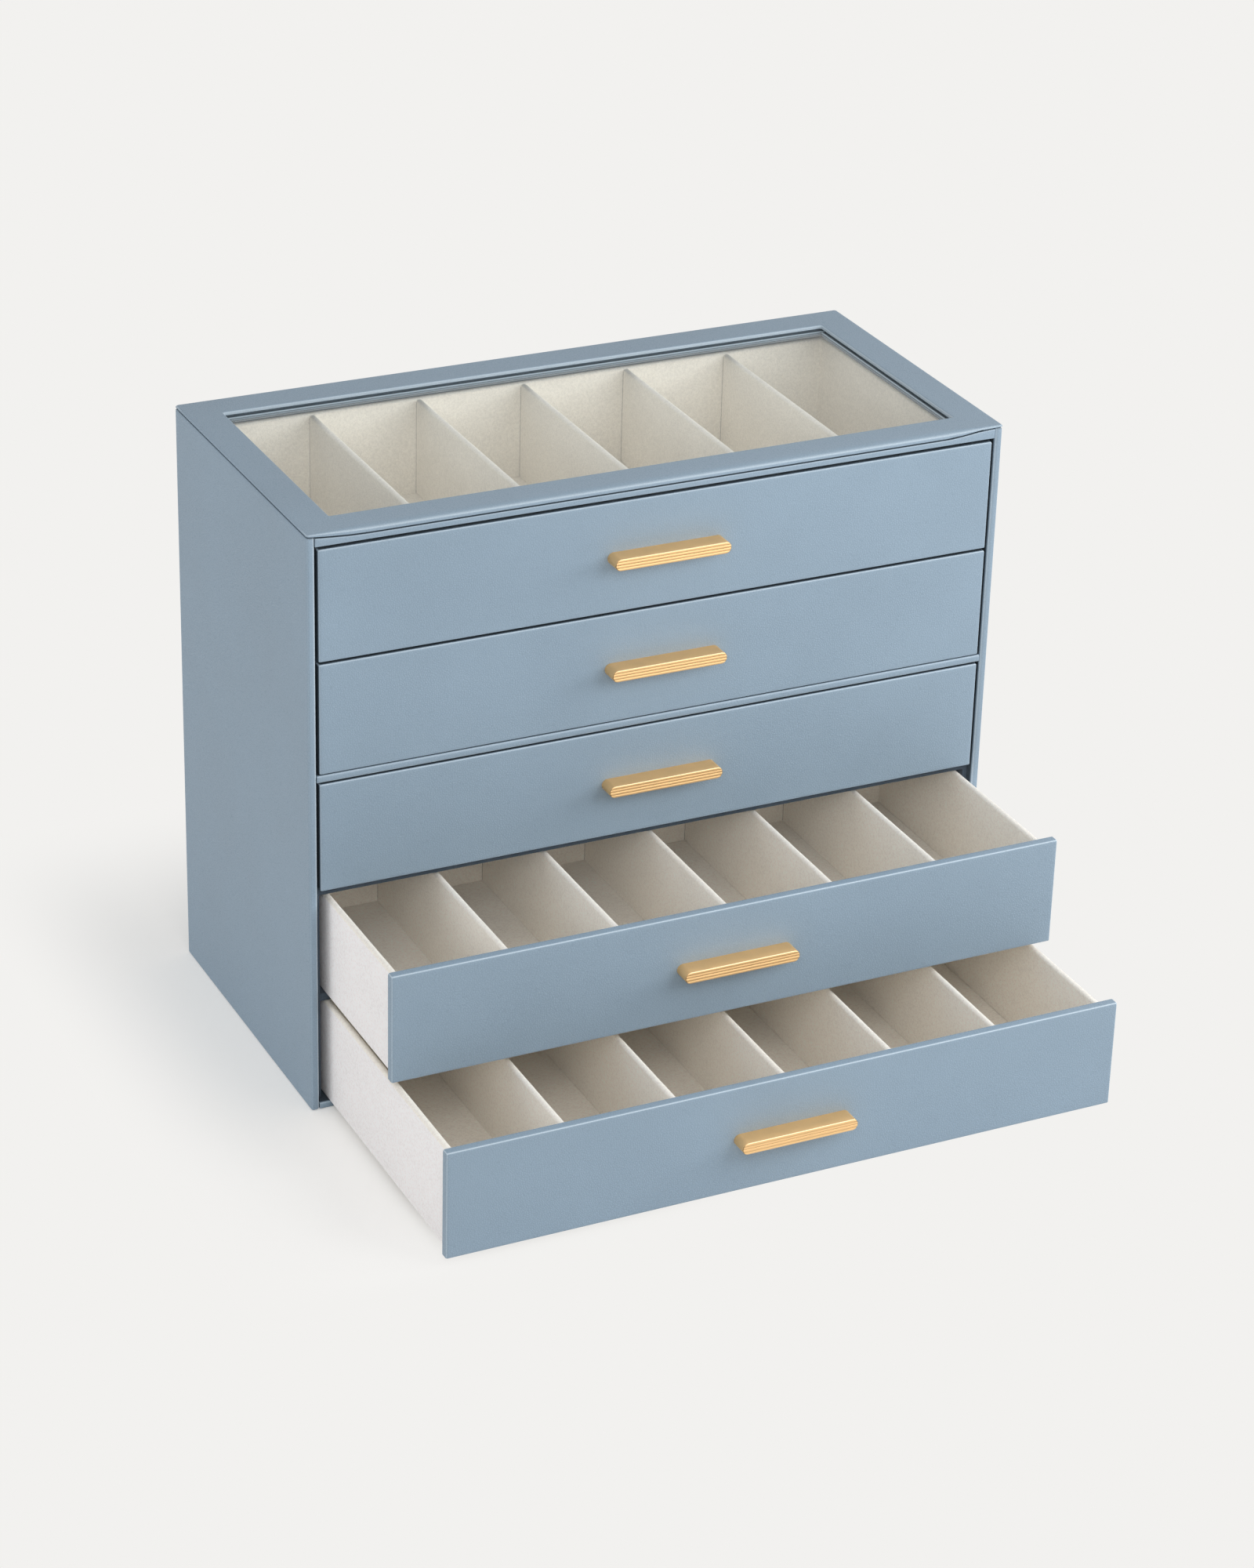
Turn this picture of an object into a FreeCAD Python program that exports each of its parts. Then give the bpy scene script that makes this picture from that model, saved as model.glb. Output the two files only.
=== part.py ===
"""Five-drawer organizer box for spectacles, with a glazed lid.

Millimetres. The front faces -Y, +X is to the right and +Z is up. The origin is the centre of
the face that the case stands on. Drawers are numbered from the top, and at rest drawers 4 and 5
stand open.
"""
import FreeCAD, Part
import os
import Sketcher

DRAWERS = (1, 2, 3, 4, 5)
LEFT_AND_RIGHT = ("left", "right")

# Driving dimensions, in millimetres or as a count. Everything else is worked out from them.
SIZES = {
    # Case
    "case_width": 440,
    "case_depth": 210,
    "side_thickness": 5,
    "back_thickness": 4,
    "floor_thickness": 4.6,
    "shelf_thickness": 4.8,
    "liner_thickness": 3,
    "rail_thickness": 3.5,
    "wrap_radius": 1.2,
    "inner_wrap_radius": 0.6,
    # Lid
    "lid_thickness": 4,
    "lid_frame_width": 22,
    "lid_seam": 0.5,
    "rail_step": 1.5,
    "glass_thickness": 1.8,
    "glass_rebate": 6,
    "glass_gap": 0.3,
    # Drawers
    "front_height": 68.3,
    "front_thickness": 5.8,
    "front_side_gap": 1.6,
    "front_head_gap": 0.9,
    "front_rail_gap": 1.8,
    "front_lift": 0.2,
    "front_overhang": 4.7,
    "box_height": 64,
    "box_depth": 197,
    "box_headroom": 0.65,
    "slide_gap": 0.3,
    "stop_gap": 0.3,
    "wall_thickness": 4,
    "base_thickness": 2.5,
    "compartments": 6,
    "divider_thickness": 4,
    "divider_drop": 1,
    "drawer_4_opening": 105,
    "drawer_5_opening": 183,
    # Handles
    "handle_length": 73.5,
    "handle_height": 7.25,
    "handle_projection": 11.5,
    "reeds": 4,
    "handle_screw_spacing": 50,
    "handle_screw_radius": 1.5,
    "handle_screw_depth": 6,
    "handle_hole_spare": 1.5,
    "screw_hole_gap": 0.2,
    "screw_head_radius": 2.9,
    "screw_head_height": 1.8,
    "screw_slot_width": 0.8,
    "screw_slot_depth": 0.7,
    # Hinges
    "hinge_length": 28,
    "hinge_spacing": 300,
    "hinge_leaf_width": 13,
    "hinge_leaf_thickness": 0.9,
    "hinge_leaf_gap": 0.3,
    "hinge_mortise_gap": 0.2,
    "knuckle_radius": 2.2,
    "knuckle_middle": 10,
    "knuckle_gap": 0.3,
    "pin_radius": 1,
    "pin_gap": 0.05,
    "pin_head_radius": 1.7,
    "pin_head_height": 0.8,
    "axis_behind_case": 0.3,
    "hinge_screw_spacing": 18,
    "hinge_screw_radius": 0.9,
    "hinge_screw_head_radius": 1.7,
    "hinge_screw_length": 2.4,
    "hinge_hole_spare": 0.2,
    "hinge_screw_slot_width": 0.5,
    "hinge_screw_slot_depth": 0.4,
}

doc = FreeCAD.newDocument("OrganizerBox")
sheet = doc.addObject("Spreadsheet::Sheet", "Sizes")
for row, (alias, number) in enumerate(SIZES.items(), start=1):
    sheet.set(f"A{row}", alias)
    sheet.set(f"B{row}", str(number))
    sheet.setAlias(f"B{row}", alias)
doc.recompute()


def expand(formula):
    """Writes a formula in sheet aliases as a FreeCAD expression."""
    words = []
    for word in formula.replace("(", " ( ").replace(")", " ) ").split():
        words.append(f"Sizes.{word}" if word in SIZES else word)
    return " ".join(words)


def value(formula):
    """Works a formula in sheet aliases out to a number."""
    return float(sheet.evalExpression(expand(formula)))


# Places across the case, from its middle.
SIDE_INNER = "( case_width / 2 - side_thickness )"
LINER_INNER = f"( {SIDE_INNER} - liner_thickness )"
FRONT_WIDTH = f"( 2 * {SIDE_INNER} - 2 * front_side_gap )"
BOX_WIDTH = f"( {FRONT_WIDTH} - 2 * front_overhang )"
BOX_INNER_WIDTH = f"( {BOX_WIDTH} - 2 * wall_thickness )"
COMPARTMENT_PITCH = f"( ( {BOX_INNER_WIDTH} + divider_thickness ) / compartments )"

# Places along the depth, from the middle of the case. The front is negative.
CASE_FRONT = "( 0 - case_depth / 2 )"
BACK_INNER = "( case_depth / 2 - back_thickness )"
LINER_FRONT = f"( {CASE_FRONT} + front_thickness + stop_gap )"
BOX_FRONT = f"( {CASE_FRONT} + front_thickness )"
BOX_INNER_DEPTH = "( box_depth - 2 * wall_thickness )"

# Levels, from the ground. Each box slides on the board under it.
BOX_PITCH = "( box_height + box_headroom + shelf_thickness + slide_gap )"
BOX_BOTTOM = {5: "( floor_thickness + slide_gap )"}
BOX_BOTTOM[4] = f"( {BOX_BOTTOM[5]} + {BOX_PITCH} )"
BOX_BOTTOM[3] = f"( {BOX_BOTTOM[4]} + {BOX_PITCH} )"
MIDDLE_SHELF = f"( {BOX_BOTTOM[3]} + front_lift + front_height + front_head_gap )"
BOX_BOTTOM[2] = f"( {MIDDLE_SHELF} + shelf_thickness + slide_gap )"
BOX_BOTTOM[1] = f"( {BOX_BOTTOM[2]} + {BOX_PITCH} )"
RAIL_BOTTOM = f"( {BOX_BOTTOM[1]} + front_lift + front_height + front_rail_gap )"
CASE_TOP = f"( {RAIL_BOTTOM} + rail_thickness )"
LID_BOTTOM = f"( {CASE_TOP} + lid_seam )"


def shelf_under(drawer):
    """Level of the underside of the set-back shelf that carries a drawer."""
    return f"( {BOX_BOTTOM[drawer]} - slide_gap - shelf_thickness )"


BAY_FLOOR = {drawer: f"( {BOX_BOTTOM[drawer]} - slide_gap )" for drawer in DRAWERS}
BAY_CEILING = {
    1: RAIL_BOTTOM,
    2: shelf_under(1),
    3: MIDDLE_SHELF,
    4: shelf_under(3),
    5: shelf_under(4),
}
OPENING = {1: "0", 2: "0", 3: "0", 4: "drawer_4_opening", 5: "drawer_5_opening"}

# The lid turns about the pins of its two hinges, in the middle of the seam.
AXIS_HEIGHT = f"( {CASE_TOP} + lid_seam / 2 )"
AXIS_DEPTH = "( case_depth / 2 + axis_behind_case + knuckle_radius )"
LEAF_REACH = "( hinge_leaf_width + axis_behind_case + knuckle_radius )"
MORTISE_DEPTH = "( hinge_leaf_thickness + hinge_leaf_gap / 2 - lid_seam / 2 )"
MORTISE_LENGTH = "( hinge_length + 2 * hinge_mortise_gap )"
MORTISE_WIDTH = "( hinge_leaf_width + hinge_mortise_gap )"
SCREW_INSET = "( hinge_leaf_width / 2 )"

parts = []


def place(piece, x="0", y="0", z="0"):
    """Binds the place of a piece to the sheet."""
    for axis, formula in zip("xyz", (x, y, z)):
        piece.setExpression(f"Placement.Base.{axis}", expand(formula))


def export(piece):
    """Lists a piece for the checks and the files."""
    parts.append(piece)
    return piece


def box(label, width, depth, height, x, y, z):
    """A plain board from its lowest corner."""
    board = doc.addObject("Part::Box", label)
    board.Label = label
    board.setExpression("Length", expand(width))
    board.setExpression("Width", expand(depth))
    board.setExpression("Height", expand(height))
    place(board, x, y, z)
    return board


def compound(label, pieces):
    """Several solids that share one file."""
    group = doc.addObject("Part::Compound", label)
    group.Label = label
    group.Links = pieces
    return group


def new_body(label):
    """An empty body with its own origin planes."""
    body = doc.addObject("PartDesign::Body", label)
    body.Label = label
    return body


def origin_plane(body, role):
    """One of the three planes of a body's own origin."""
    return [plane for plane in body.Origin.OriginFeatures if plane.Role == role][0]


def new_sketch(body, name, role, offset="0"):
    """A sketch on an origin plane of its own body, moved along the plane's normal."""
    sketch = body.newObject("Sketcher::SketchObject", f"{body.Name}_{name}")
    sketch.AttachmentSupport = [(origin_plane(body, role), "")]
    sketch.MapMode = "FlatFace"
    sketch.setExpression("AttachmentOffset.Base.z", expand(offset))
    return sketch


def bind(sketch, kind, picks, formula):
    """Adds a dimension to a sketch and binds it to the sheet."""
    number = sketch.addConstraint(Sketcher.Constraint(kind, *picks, value(formula)))
    sketch.setExpression(f"Constraints[{number}]", expand(formula))


def rectangle(sketch, left, bottom, width, height):
    """Draws a rectangle from its lower left corner, with each size bound to the sheet."""
    x, y, w, d = value(left), value(bottom), value(width), value(height)
    first = sketch.GeometryCount
    corners = [(x, y), (x + w, y), (x + w, y + d), (x, y + d)]
    for side in range(4):
        start = FreeCAD.Vector(*corners[side], 0)
        end = FreeCAD.Vector(*corners[(side + 1) % 4], 0)
        sketch.addGeometry(Part.LineSegment(start, end))
    for side in range(4):
        following = first + (side + 1) % 4
        sketch.addConstraint(Sketcher.Constraint("Coincident", first + side, 2, following, 1))
    for side in (0, 2):
        sketch.addConstraint(Sketcher.Constraint("Horizontal", first + side))
    for side in (1, 3):
        sketch.addConstraint(Sketcher.Constraint("Vertical", first + side))
    bind(sketch, "DistanceX", (-1, 1, first, 1), left)
    bind(sketch, "DistanceY", (-1, 1, first, 1), bottom)
    bind(sketch, "DistanceX", (first, 1, first, 2), width)
    bind(sketch, "DistanceY", (first + 1, 1, first + 1, 2), height)


def centred_rectangle(sketch, width, height):
    """Draws a rectangle about the origin of its sketch."""
    rectangle(sketch, f"0 - ( {width} ) / 2", f"0 - ( {height} ) / 2", width, height)


def circle(sketch, x, y, radius):
    """Draws a circle, with its centre and radius bound to the sheet."""
    centre = FreeCAD.Vector(value(x), value(y), 0)
    number = sketch.addGeometry(Part.Circle(centre, FreeCAD.Vector(0, 0, 1), value(radius)))
    bind(sketch, "DistanceX", (-1, 1, number, 3), x)
    bind(sketch, "DistanceY", (-1, 1, number, 3), y)
    bind(sketch, "Radius", (number,), radius)


def outline(sketch, corners, half_circles=()):
    """Draws a closed outline through corners given as formulas, with the inside on its left.

    A run is straight, or a half circle that swells outwards if half_circles has the number of
    the corner that it starts from.
    """
    points = [FreeCAD.Vector(value(x), value(y), 0) for x, y in corners]
    count = len(points)
    first = sketch.GeometryCount
    for run in range(count):
        start, end = points[run], points[(run + 1) % count]
        if run in half_circles:
            chord = end - start
            swell = (start + end) / 2 + FreeCAD.Vector(chord.y, -chord.x, 0) / 2
            sketch.addGeometry(Part.Arc(start, swell, end))
        else:
            sketch.addGeometry(Part.LineSegment(start, end))
    for run in range(count):
        following = first + (run + 1) % count
        sketch.addConstraint(Sketcher.Constraint("Coincident", first + run, 2, following, 1))
    for run, (x, y) in enumerate(corners):
        bind(sketch, "DistanceX", (-1, 1, first + run, 1), x)
        bind(sketch, "DistanceY", (-1, 1, first + run, 1), y)
    for run in half_circles:
        upright = near(points[run].x, points[(run + 1) % count].x)
        kind = "Vertical" if upright else "Horizontal"
        sketch.addConstraint(Sketcher.Constraint(kind, first + run, 1, first + run, 3))


def pad(body, sketch, length, midplane=False, reverse=False):
    """Adds material along a sketch's normal."""
    feature = body.newObject("PartDesign::Pad", f"{sketch.Name}_pad")
    feature.Profile = sketch
    feature.Midplane = midplane
    feature.Reversed = reverse
    feature.setExpression("Length", expand(length))
    doc.recompute()
    return feature


def pocket(body, sketch, length=None, midplane=False, reverse=False):
    """Cuts a sketch out of its body, right through if no length is given."""
    before = body.Shape.Volume
    feature = body.newObject("PartDesign::Pocket", f"{sketch.Name}_cut")
    feature.Profile = sketch
    feature.Midplane = midplane
    feature.Reversed = reverse
    if length is None:
        feature.Type = "ThroughAll"
    else:
        feature.setExpression("Length", expand(length))
    doc.recompute()
    if not body.Shape.Volume < before:
        raise RuntimeError(f"{feature.Name} cuts nothing")
    return feature


def revolve(body, sketch, axis):
    """Turns a sketch about one of its own axes into a round solid."""
    feature = body.newObject("PartDesign::Revolution", f"{sketch.Name}_round")
    feature.Profile = sketch
    feature.ReferenceAxis = (sketch, [axis])
    feature.Angle = 360
    doc.recompute()
    return feature


def repeat(body, sketch, spacing, count):
    """Repeats a whole body along the first axis of a sketch."""
    pattern = body.newObject("PartDesign::LinearPattern", f"{body.Tip.Name}_row")
    pattern.TransformMode = "Whole shape"
    pattern.Direction = (sketch, ["H_Axis"])
    pattern.Mode = "Spacing"
    pattern.setExpression("Offset", expand(spacing))
    pattern.setExpression("Occurrences", expand(count))
    body.Tip = pattern
    doc.recompute()
    return pattern


def edges(shape, chosen):
    """Names of the straight edges that a test picks by their middle and direction."""
    names = []
    for number, edge in enumerate(shape.Edges, start=1):
        ends = [vertex.Point for vertex in edge.Vertexes]
        if len(ends) < 2 or not near(ends[0].distanceToPoint(ends[1]), edge.Length):
            continue
        direction = edge.tangentAt(edge.FirstParameter)
        if chosen(edge.CenterOfMass, direction):
            names.append(f"Edge{number}")
    return names


def round_off(body, radius, chosen):
    """Rounds the edges of a body that a test picks."""
    base = body.Tip
    names = edges(base.Shape, chosen)
    if not names:
        raise RuntimeError(f"{body.Label} has no edge to round")
    fillet = body.newObject("PartDesign::Fillet", f"{base.Name}_soft")
    fillet.Base = (base, names)
    fillet.setExpression("Radius", expand(radius))
    doc.recompute()
    return fillet


def near(a, b):
    """Whether two lengths agree to a hundredth of a millimetre."""
    return abs(a - b) < 0.01


def along(direction, axis):
    """Whether a direction lies along an axis: 0 for X, 1 for Y, 2 for Z."""
    return abs(direction[axis]) > 0.99


def board(label, width, depth, height):
    """A wrapped board, centred on X and Y, with its underside at zero."""
    body = new_body(label)
    sketch = new_sketch(body, "plan", "XY_Plane")
    centred_rectangle(sketch, width, depth)
    pad(body, sketch, height)
    return body


def side_panels():
    """Left and right side panels, wrapped round every edge."""
    for side, sign in zip(LEFT_AND_RIGHT, ("0 - ", "")):
        panel = board(f"side_panel_{side}", "side_thickness", "case_depth", CASE_TOP)
        round_off(panel, "wrap_radius", lambda middle, direction: True)
        place(panel, x=f"{sign}( case_width / 2 - side_thickness / 2 )")
        export(panel)


def hinge_mortises(body, level, front, depth, reverse=False):
    """Mortises for the leaves of both hinges, open at the back."""
    mortises = new_sketch(body, "mortises", "XY_Plane", level)
    for side in ("0 - ", ""):
        left = f"{side}hinge_spacing / 2 - {MORTISE_LENGTH} / 2"
        rectangle(mortises, left, front, MORTISE_LENGTH, depth)
    pocket(body, mortises, MORTISE_DEPTH, reverse=reverse)


def back_panel():
    """Back panel, with notches in its top for the hinge leaves."""
    panel = board("back_panel", f"2 * {SIDE_INNER}", "back_thickness", CASE_TOP)
    back = value("back_thickness / 2")
    round_off(panel, "inner_wrap_radius", lambda middle, direction: near(middle.y, back))
    hinge_mortises(panel, CASE_TOP, "0 - back_thickness", "2 * back_thickness")
    place(panel, y="case_depth / 2 - back_thickness / 2")
    export(panel)


def flush_board(label, level, thickness):
    """A board between the side panels whose wrapped front edge is flush with the front."""
    plank = board(label, f"2 * {SIDE_INNER}", "case_depth - back_thickness", thickness)
    front = value("( back_thickness - case_depth ) / 2")

    def front_edge(middle, direction):
        return near(middle.y, front) and along(direction, 0)

    round_off(plank, "wrap_radius", front_edge)
    place(plank, y="0 - back_thickness / 2", z=level)
    export(plank)


def shelves():
    """The floor board, the middle shelf and the three shelves behind the drawer fronts."""
    flush_board("floor_board", "0", "floor_thickness")
    flush_board("middle_shelf", MIDDLE_SHELF, "shelf_thickness")
    for drawer in (1, 3, 4):
        export(box(f"shelf_under_drawer_{drawer}", f"2 * {SIDE_INNER}",
                   f"{BACK_INNER} - {LINER_FRONT}", "shelf_thickness",
                   f"0 - {SIDE_INNER}", LINER_FRONT, shelf_under(drawer)))


def side_liners():
    """Liners in each bay. They carry the shelf above and stop the drawer front."""
    for side, start in zip(LEFT_AND_RIGHT, (f"0 - {SIDE_INNER}", LINER_INNER)):
        liners = []
        for drawer in DRAWERS:
            liners.append(box(f"liner_{side}_{drawer}", "liner_thickness",
                              f"{BACK_INNER} - {LINER_FRONT}",
                              f"{BAY_CEILING[drawer]} - {BAY_FLOOR[drawer]}",
                              start, LINER_FRONT, BAY_FLOOR[drawer]))
        export(compound(f"side_liners_{side}", liners))


RAIL_INSET = "( lid_frame_width + rail_step )"


def hinge_screw_holes(body, level, y, reverse=False):
    """Pilot holes for the screws of both hinges, from the bottom of their mortises."""
    holes = new_sketch(body, "pilots", "XY_Plane", level)
    for hinge in ("0 -", "0 +"):
        for end in ("-", "+"):
            x = f"{hinge} hinge_spacing / 2 {end} hinge_screw_spacing / 2"
            circle(holes, x, y, "hinge_screw_radius")
    length = "hinge_screw_length + hinge_hole_spare - hinge_leaf_thickness"
    pocket(body, holes, length, reverse=reverse)


def top_rails():
    """Four rails round the top of the case, set in from the window of the lid."""
    side_width = f"( {RAIL_INSET} - side_thickness )"
    back_width = f"( {RAIL_INSET} - back_thickness )"
    half_rail = value(f"{RAIL_INSET} / 2")

    front = board("top_rail_front", f"2 * {SIDE_INNER}", RAIL_INSET, "rail_thickness")
    round_off(front, "wrap_radius",
              lambda middle, direction: near(middle.y, -half_rail) and along(direction, 0))
    place(front, y=f"{CASE_FRONT} + {RAIL_INSET} / 2", z=RAIL_BOTTOM)
    export(front)

    back = board("top_rail_back", f"2 * {SIDE_INNER}", back_width, "rail_thickness")
    half_back = value(f"{back_width} / 2")
    round_off(back, "inner_wrap_radius",
              lambda middle, direction: near(middle.y, -half_back) and along(direction, 0))
    reach = f"( {MORTISE_WIDTH} - back_thickness )"
    hinge_mortises(back, "rail_thickness", f"{back_width} / 2 - {reach}",
                   f"{reach} + back_thickness")
    hinge_screw_holes(back, f"rail_thickness - {MORTISE_DEPTH}",
                      f"{back_width} / 2 + back_thickness - {SCREW_INSET}")
    place(back, y=f"{BACK_INNER} - {back_width} / 2", z=RAIL_BOTTOM)
    export(back)

    length = f"( case_depth - 2 * {RAIL_INSET} )"
    for side, sign in zip(LEFT_AND_RIGHT, ("0 - ", "")):
        rail = board(f"top_rail_{side}", side_width, length, "rail_thickness")
        inner = value(f"{side_width} / 2") * (1 if side == "left" else -1)
        round_off(rail, "inner_wrap_radius",
                  lambda middle, direction: near(middle.x, inner) and along(direction, 1))
        place(rail, x=f"{sign}( {SIDE_INNER} - {side_width} / 2 )", z=RAIL_BOTTOM)
        export(rail)


WINDOW_WIDTH = "( case_width - 2 * lid_frame_width )"
WINDOW_DEPTH = "( case_depth - 2 * lid_frame_width )"


def lid():
    """Lid frame with its window, glass rebate and hinge mortises, and the glass."""
    frame = board("lid_frame", "case_width", "case_depth", "lid_thickness")
    window = new_sketch(frame, "window", "XY_Plane")
    centred_rectangle(window, WINDOW_WIDTH, WINDOW_DEPTH)
    pocket(frame, window, reverse=True)
    top = value("lid_thickness")
    round_off(frame, "wrap_radius",
              lambda middle, direction: near(middle.z, top) or along(direction, 2))
    half_width, half_depth = value("case_width / 2"), value("case_depth / 2")
    round_off(frame, "inner_wrap_radius",
              lambda middle, direction: near(middle.z, 0) and (
                  near(abs(middle.x), half_width) or near(abs(middle.y), half_depth)))
    rebate = new_sketch(frame, "rebate", "XY_Plane")
    centred_rectangle(rebate, f"( {WINDOW_WIDTH} + 2 * glass_rebate )",
                      f"( {WINDOW_DEPTH} + 2 * glass_rebate )")
    pocket(frame, rebate, "glass_thickness", reverse=True)
    hinge_mortises(frame, "0", f"case_depth / 2 - {MORTISE_WIDTH}",
                   f"{MORTISE_WIDTH} + back_thickness", reverse=True)
    hinge_screw_holes(frame, MORTISE_DEPTH, f"case_depth / 2 - {SCREW_INSET}", reverse=True)
    place(frame, z=LID_BOTTOM)
    export(frame)

    pane_width = f"( {WINDOW_WIDTH} + 2 * glass_rebate - 2 * glass_gap )"
    pane_depth = f"( {WINDOW_DEPTH} + 2 * glass_rebate - 2 * glass_gap )"
    export(box("lid_glass", pane_width, pane_depth, "glass_thickness",
               f"0 - {pane_width} / 2", f"0 - {pane_depth} / 2", LID_BOTTOM))


def hinge_leaf(label, upper):
    """One leaf of a butt hinge: a plate let into its mortise, rolled round the pin.

    Its own origin is the middle of the pin. The lower leaf has the two outer knuckles and the
    upper leaf has the middle one.
    """
    leaf = new_body(label)
    side = "" if upper else "0 - "
    inner_level = f"{side}( hinge_leaf_gap / 2 )"
    outer_level = f"{side}( hinge_leaf_gap / 2 + hinge_leaf_thickness )"
    plate = new_sketch(leaf, "plate", "YZ_Plane")
    low = inner_level if upper else outer_level
    rectangle(plate, f"0 - {LEAF_REACH}", low, LEAF_REACH, "hinge_leaf_thickness")
    pad(leaf, plate, "hinge_length", midplane=True)
    barrel = new_sketch(leaf, "barrel", "YZ_Plane")
    circle(barrel, "0", "0", "knuckle_radius")
    pad(leaf, barrel, "hinge_length", midplane=True)
    bore = new_sketch(leaf, "bore", "YZ_Plane")
    circle(bore, "0", "0", "pin_radius + pin_gap")
    pocket(leaf, bore, "2 * hinge_length", midplane=True)

    gaps = new_sketch(leaf, "gaps", "XY_Plane")
    barrel_front = "0 - knuckle_radius - axis_behind_case"
    barrel_reach = "3 * knuckle_radius"
    if upper:
        outer_length = "( hinge_length / 2 - knuckle_middle / 2 + knuckle_gap )"
        rectangle(gaps, f"0 - knuckle_middle / 2 - {outer_length}", barrel_front,
                  outer_length, barrel_reach)
        rectangle(gaps, "knuckle_middle / 2", barrel_front, outer_length, barrel_reach)
    else:
        middle_length = "( knuckle_middle + 2 * knuckle_gap )"
        rectangle(gaps, f"0 - {middle_length} / 2", barrel_front, middle_length, barrel_reach)
    pocket(leaf, gaps, "4 * knuckle_radius", midplane=True)

    sink = new_sketch(leaf, "sink", "XZ_Plane", f"{LEAF_REACH} - {SCREW_INSET}")
    head = "hinge_screw_head_radius"
    shank = "hinge_screw_radius"
    centre = "hinge_screw_spacing / 2"
    outline(sink, ((centre, inner_level), (f"{centre} + {head}", inner_level),
                   (f"{centre} + {shank}", outer_level), (centre, outer_level)))
    cone = leaf.newObject("PartDesign::Groove", f"{sink.Name}_turned")
    cone.Profile = sink
    cone.ReferenceAxis = (sink, ["Edge4"])
    cone.Angle = 360
    doc.recompute()
    mirrored = leaf.newObject("PartDesign::Mirrored", f"{cone.Name}_pair")
    mirrored.Originals = [cone]
    mirrored.MirrorPlane = (origin_plane(leaf, "YZ_Plane"), [""])
    leaf.Tip = mirrored
    doc.recompute()
    return leaf


def hinge_pin(label):
    """Hinge pin with a domed head at each end."""
    pin = new_body(label)
    profile = new_sketch(pin, "profile", "XY_Plane")
    end = "( hinge_length / 2 + knuckle_gap )"
    tip = f"( {end} + pin_head_height )"
    outline(profile, ((f"0 - {tip}", "0"), (f"0 - {tip}", "pin_head_radius / 2"),
                      (f"0 - {end} - pin_head_height / 3", "pin_head_radius"),
                      (f"0 - {end}", "pin_head_radius"), (f"0 - {end}", "pin_radius"),
                      (end, "pin_radius"), (end, "pin_head_radius"),
                      (f"{end} + pin_head_height / 3", "pin_head_radius"),
                      (tip, "pin_head_radius / 2"), (tip, "0")))
    revolve(pin, profile, "H_Axis")
    return pin


def hinge_screws(label, upper):
    """The four countersunk screws of the leaves on one side of the seam."""
    screws = new_body(label)
    side = "" if upper else "0 - "
    inner_level = f"{side}( hinge_leaf_gap / 2 )"
    neck_level = f"{side}( hinge_leaf_gap / 2 + hinge_leaf_thickness )"
    tip_level = f"{side}( hinge_leaf_gap / 2 + hinge_screw_length )"
    profile = new_sketch(screws, "profile", "XZ_Plane")
    head = "hinge_screw_head_radius"
    shank = "hinge_screw_radius"
    outline(profile, (("0", inner_level), (head, inner_level), (shank, neck_level),
                      (shank, tip_level), ("0", tip_level)))
    revolve(screws, profile, "V_Axis")
    slot = new_sketch(screws, "slot", "XY_Plane", inner_level)
    centred_rectangle(slot, "3 * hinge_screw_head_radius", "hinge_screw_slot_width")
    pocket(screws, slot, "hinge_screw_slot_depth", reverse=upper)
    repeat(screws, profile, "hinge_screw_spacing", "2")
    repeat(screws, profile, "hinge_spacing", "2")
    place(screws, x="0 - hinge_spacing / 2 - hinge_screw_spacing / 2",
          y=f"case_depth / 2 - {SCREW_INSET}", z=AXIS_HEIGHT)
    export(screws)


def hinges():
    """Two butt hinges in the seam behind the lid, with their pins and screws."""
    for side, x in zip(LEFT_AND_RIGHT, ("0 - hinge_spacing / 2", "hinge_spacing / 2")):
        for owner in ("case", "lid"):
            leaf = hinge_leaf(f"hinge_leaf_{owner}_{side}", owner == "lid")
            place(leaf, x=x, y=AXIS_DEPTH, z=AXIS_HEIGHT)
            export(leaf)
        pin = hinge_pin(f"hinge_pin_{side}")
        place(pin, x=x, y=AXIS_DEPTH, z=AXIS_HEIGHT)
        export(pin)
    hinge_screws("hinge_screws_case", upper=False)
    hinge_screws("hinge_screws_lid", upper=True)


def screw_holes_through(body, offset, radius, level, length, reverse=False):
    """A pair of holes for the handle screws, along Y."""
    holes = new_sketch(body, "screw_holes", "XZ_Plane", offset)
    for side in ("0 - ", ""):
        circle(holes, f"{side}handle_screw_spacing / 2", level, radius)
    return pocket(body, holes, length, reverse=reverse)


# The handle and its screws sit in the middle of the front.
HANDLE_LEVEL = "( front_lift + front_height / 2 )"
CLEAR_RADIUS = "( handle_screw_radius + screw_hole_gap )"


def drawer_front(number):
    """Wrapped front panel with two holes for the handle screws."""
    front = board(f"drawer_{number}_front", FRONT_WIDTH, "front_thickness", "front_height")
    face = value("front_thickness / 2")
    round_off(front, "wrap_radius", lambda middle, direction: near(middle.y, -face))
    round_off(front, "inner_wrap_radius", lambda middle, direction: near(middle.y, face))
    screw_holes_through(front, "0 - front_thickness", CLEAR_RADIUS, "front_height / 2",
                        "2 * front_thickness", reverse=True)
    return front


def drawer_side_walls(number):
    """Left and right walls of the drawer's box, soft along the top."""
    walls = new_body(f"drawer_{number}_side_walls")
    plan = new_sketch(walls, "plan", "XY_Plane")
    rectangle(plan, f"0 - {BOX_WIDTH} / 2", "0", "wall_thickness", "box_depth")
    pad(walls, plan, "box_height")
    top = value("box_height")
    round_off(walls, "wrap_radius",
              lambda middle, direction: near(middle.z, top) and along(direction, 1))
    repeat(walls, plan, f"{BOX_WIDTH} - wall_thickness", "2")
    return walls


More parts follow.
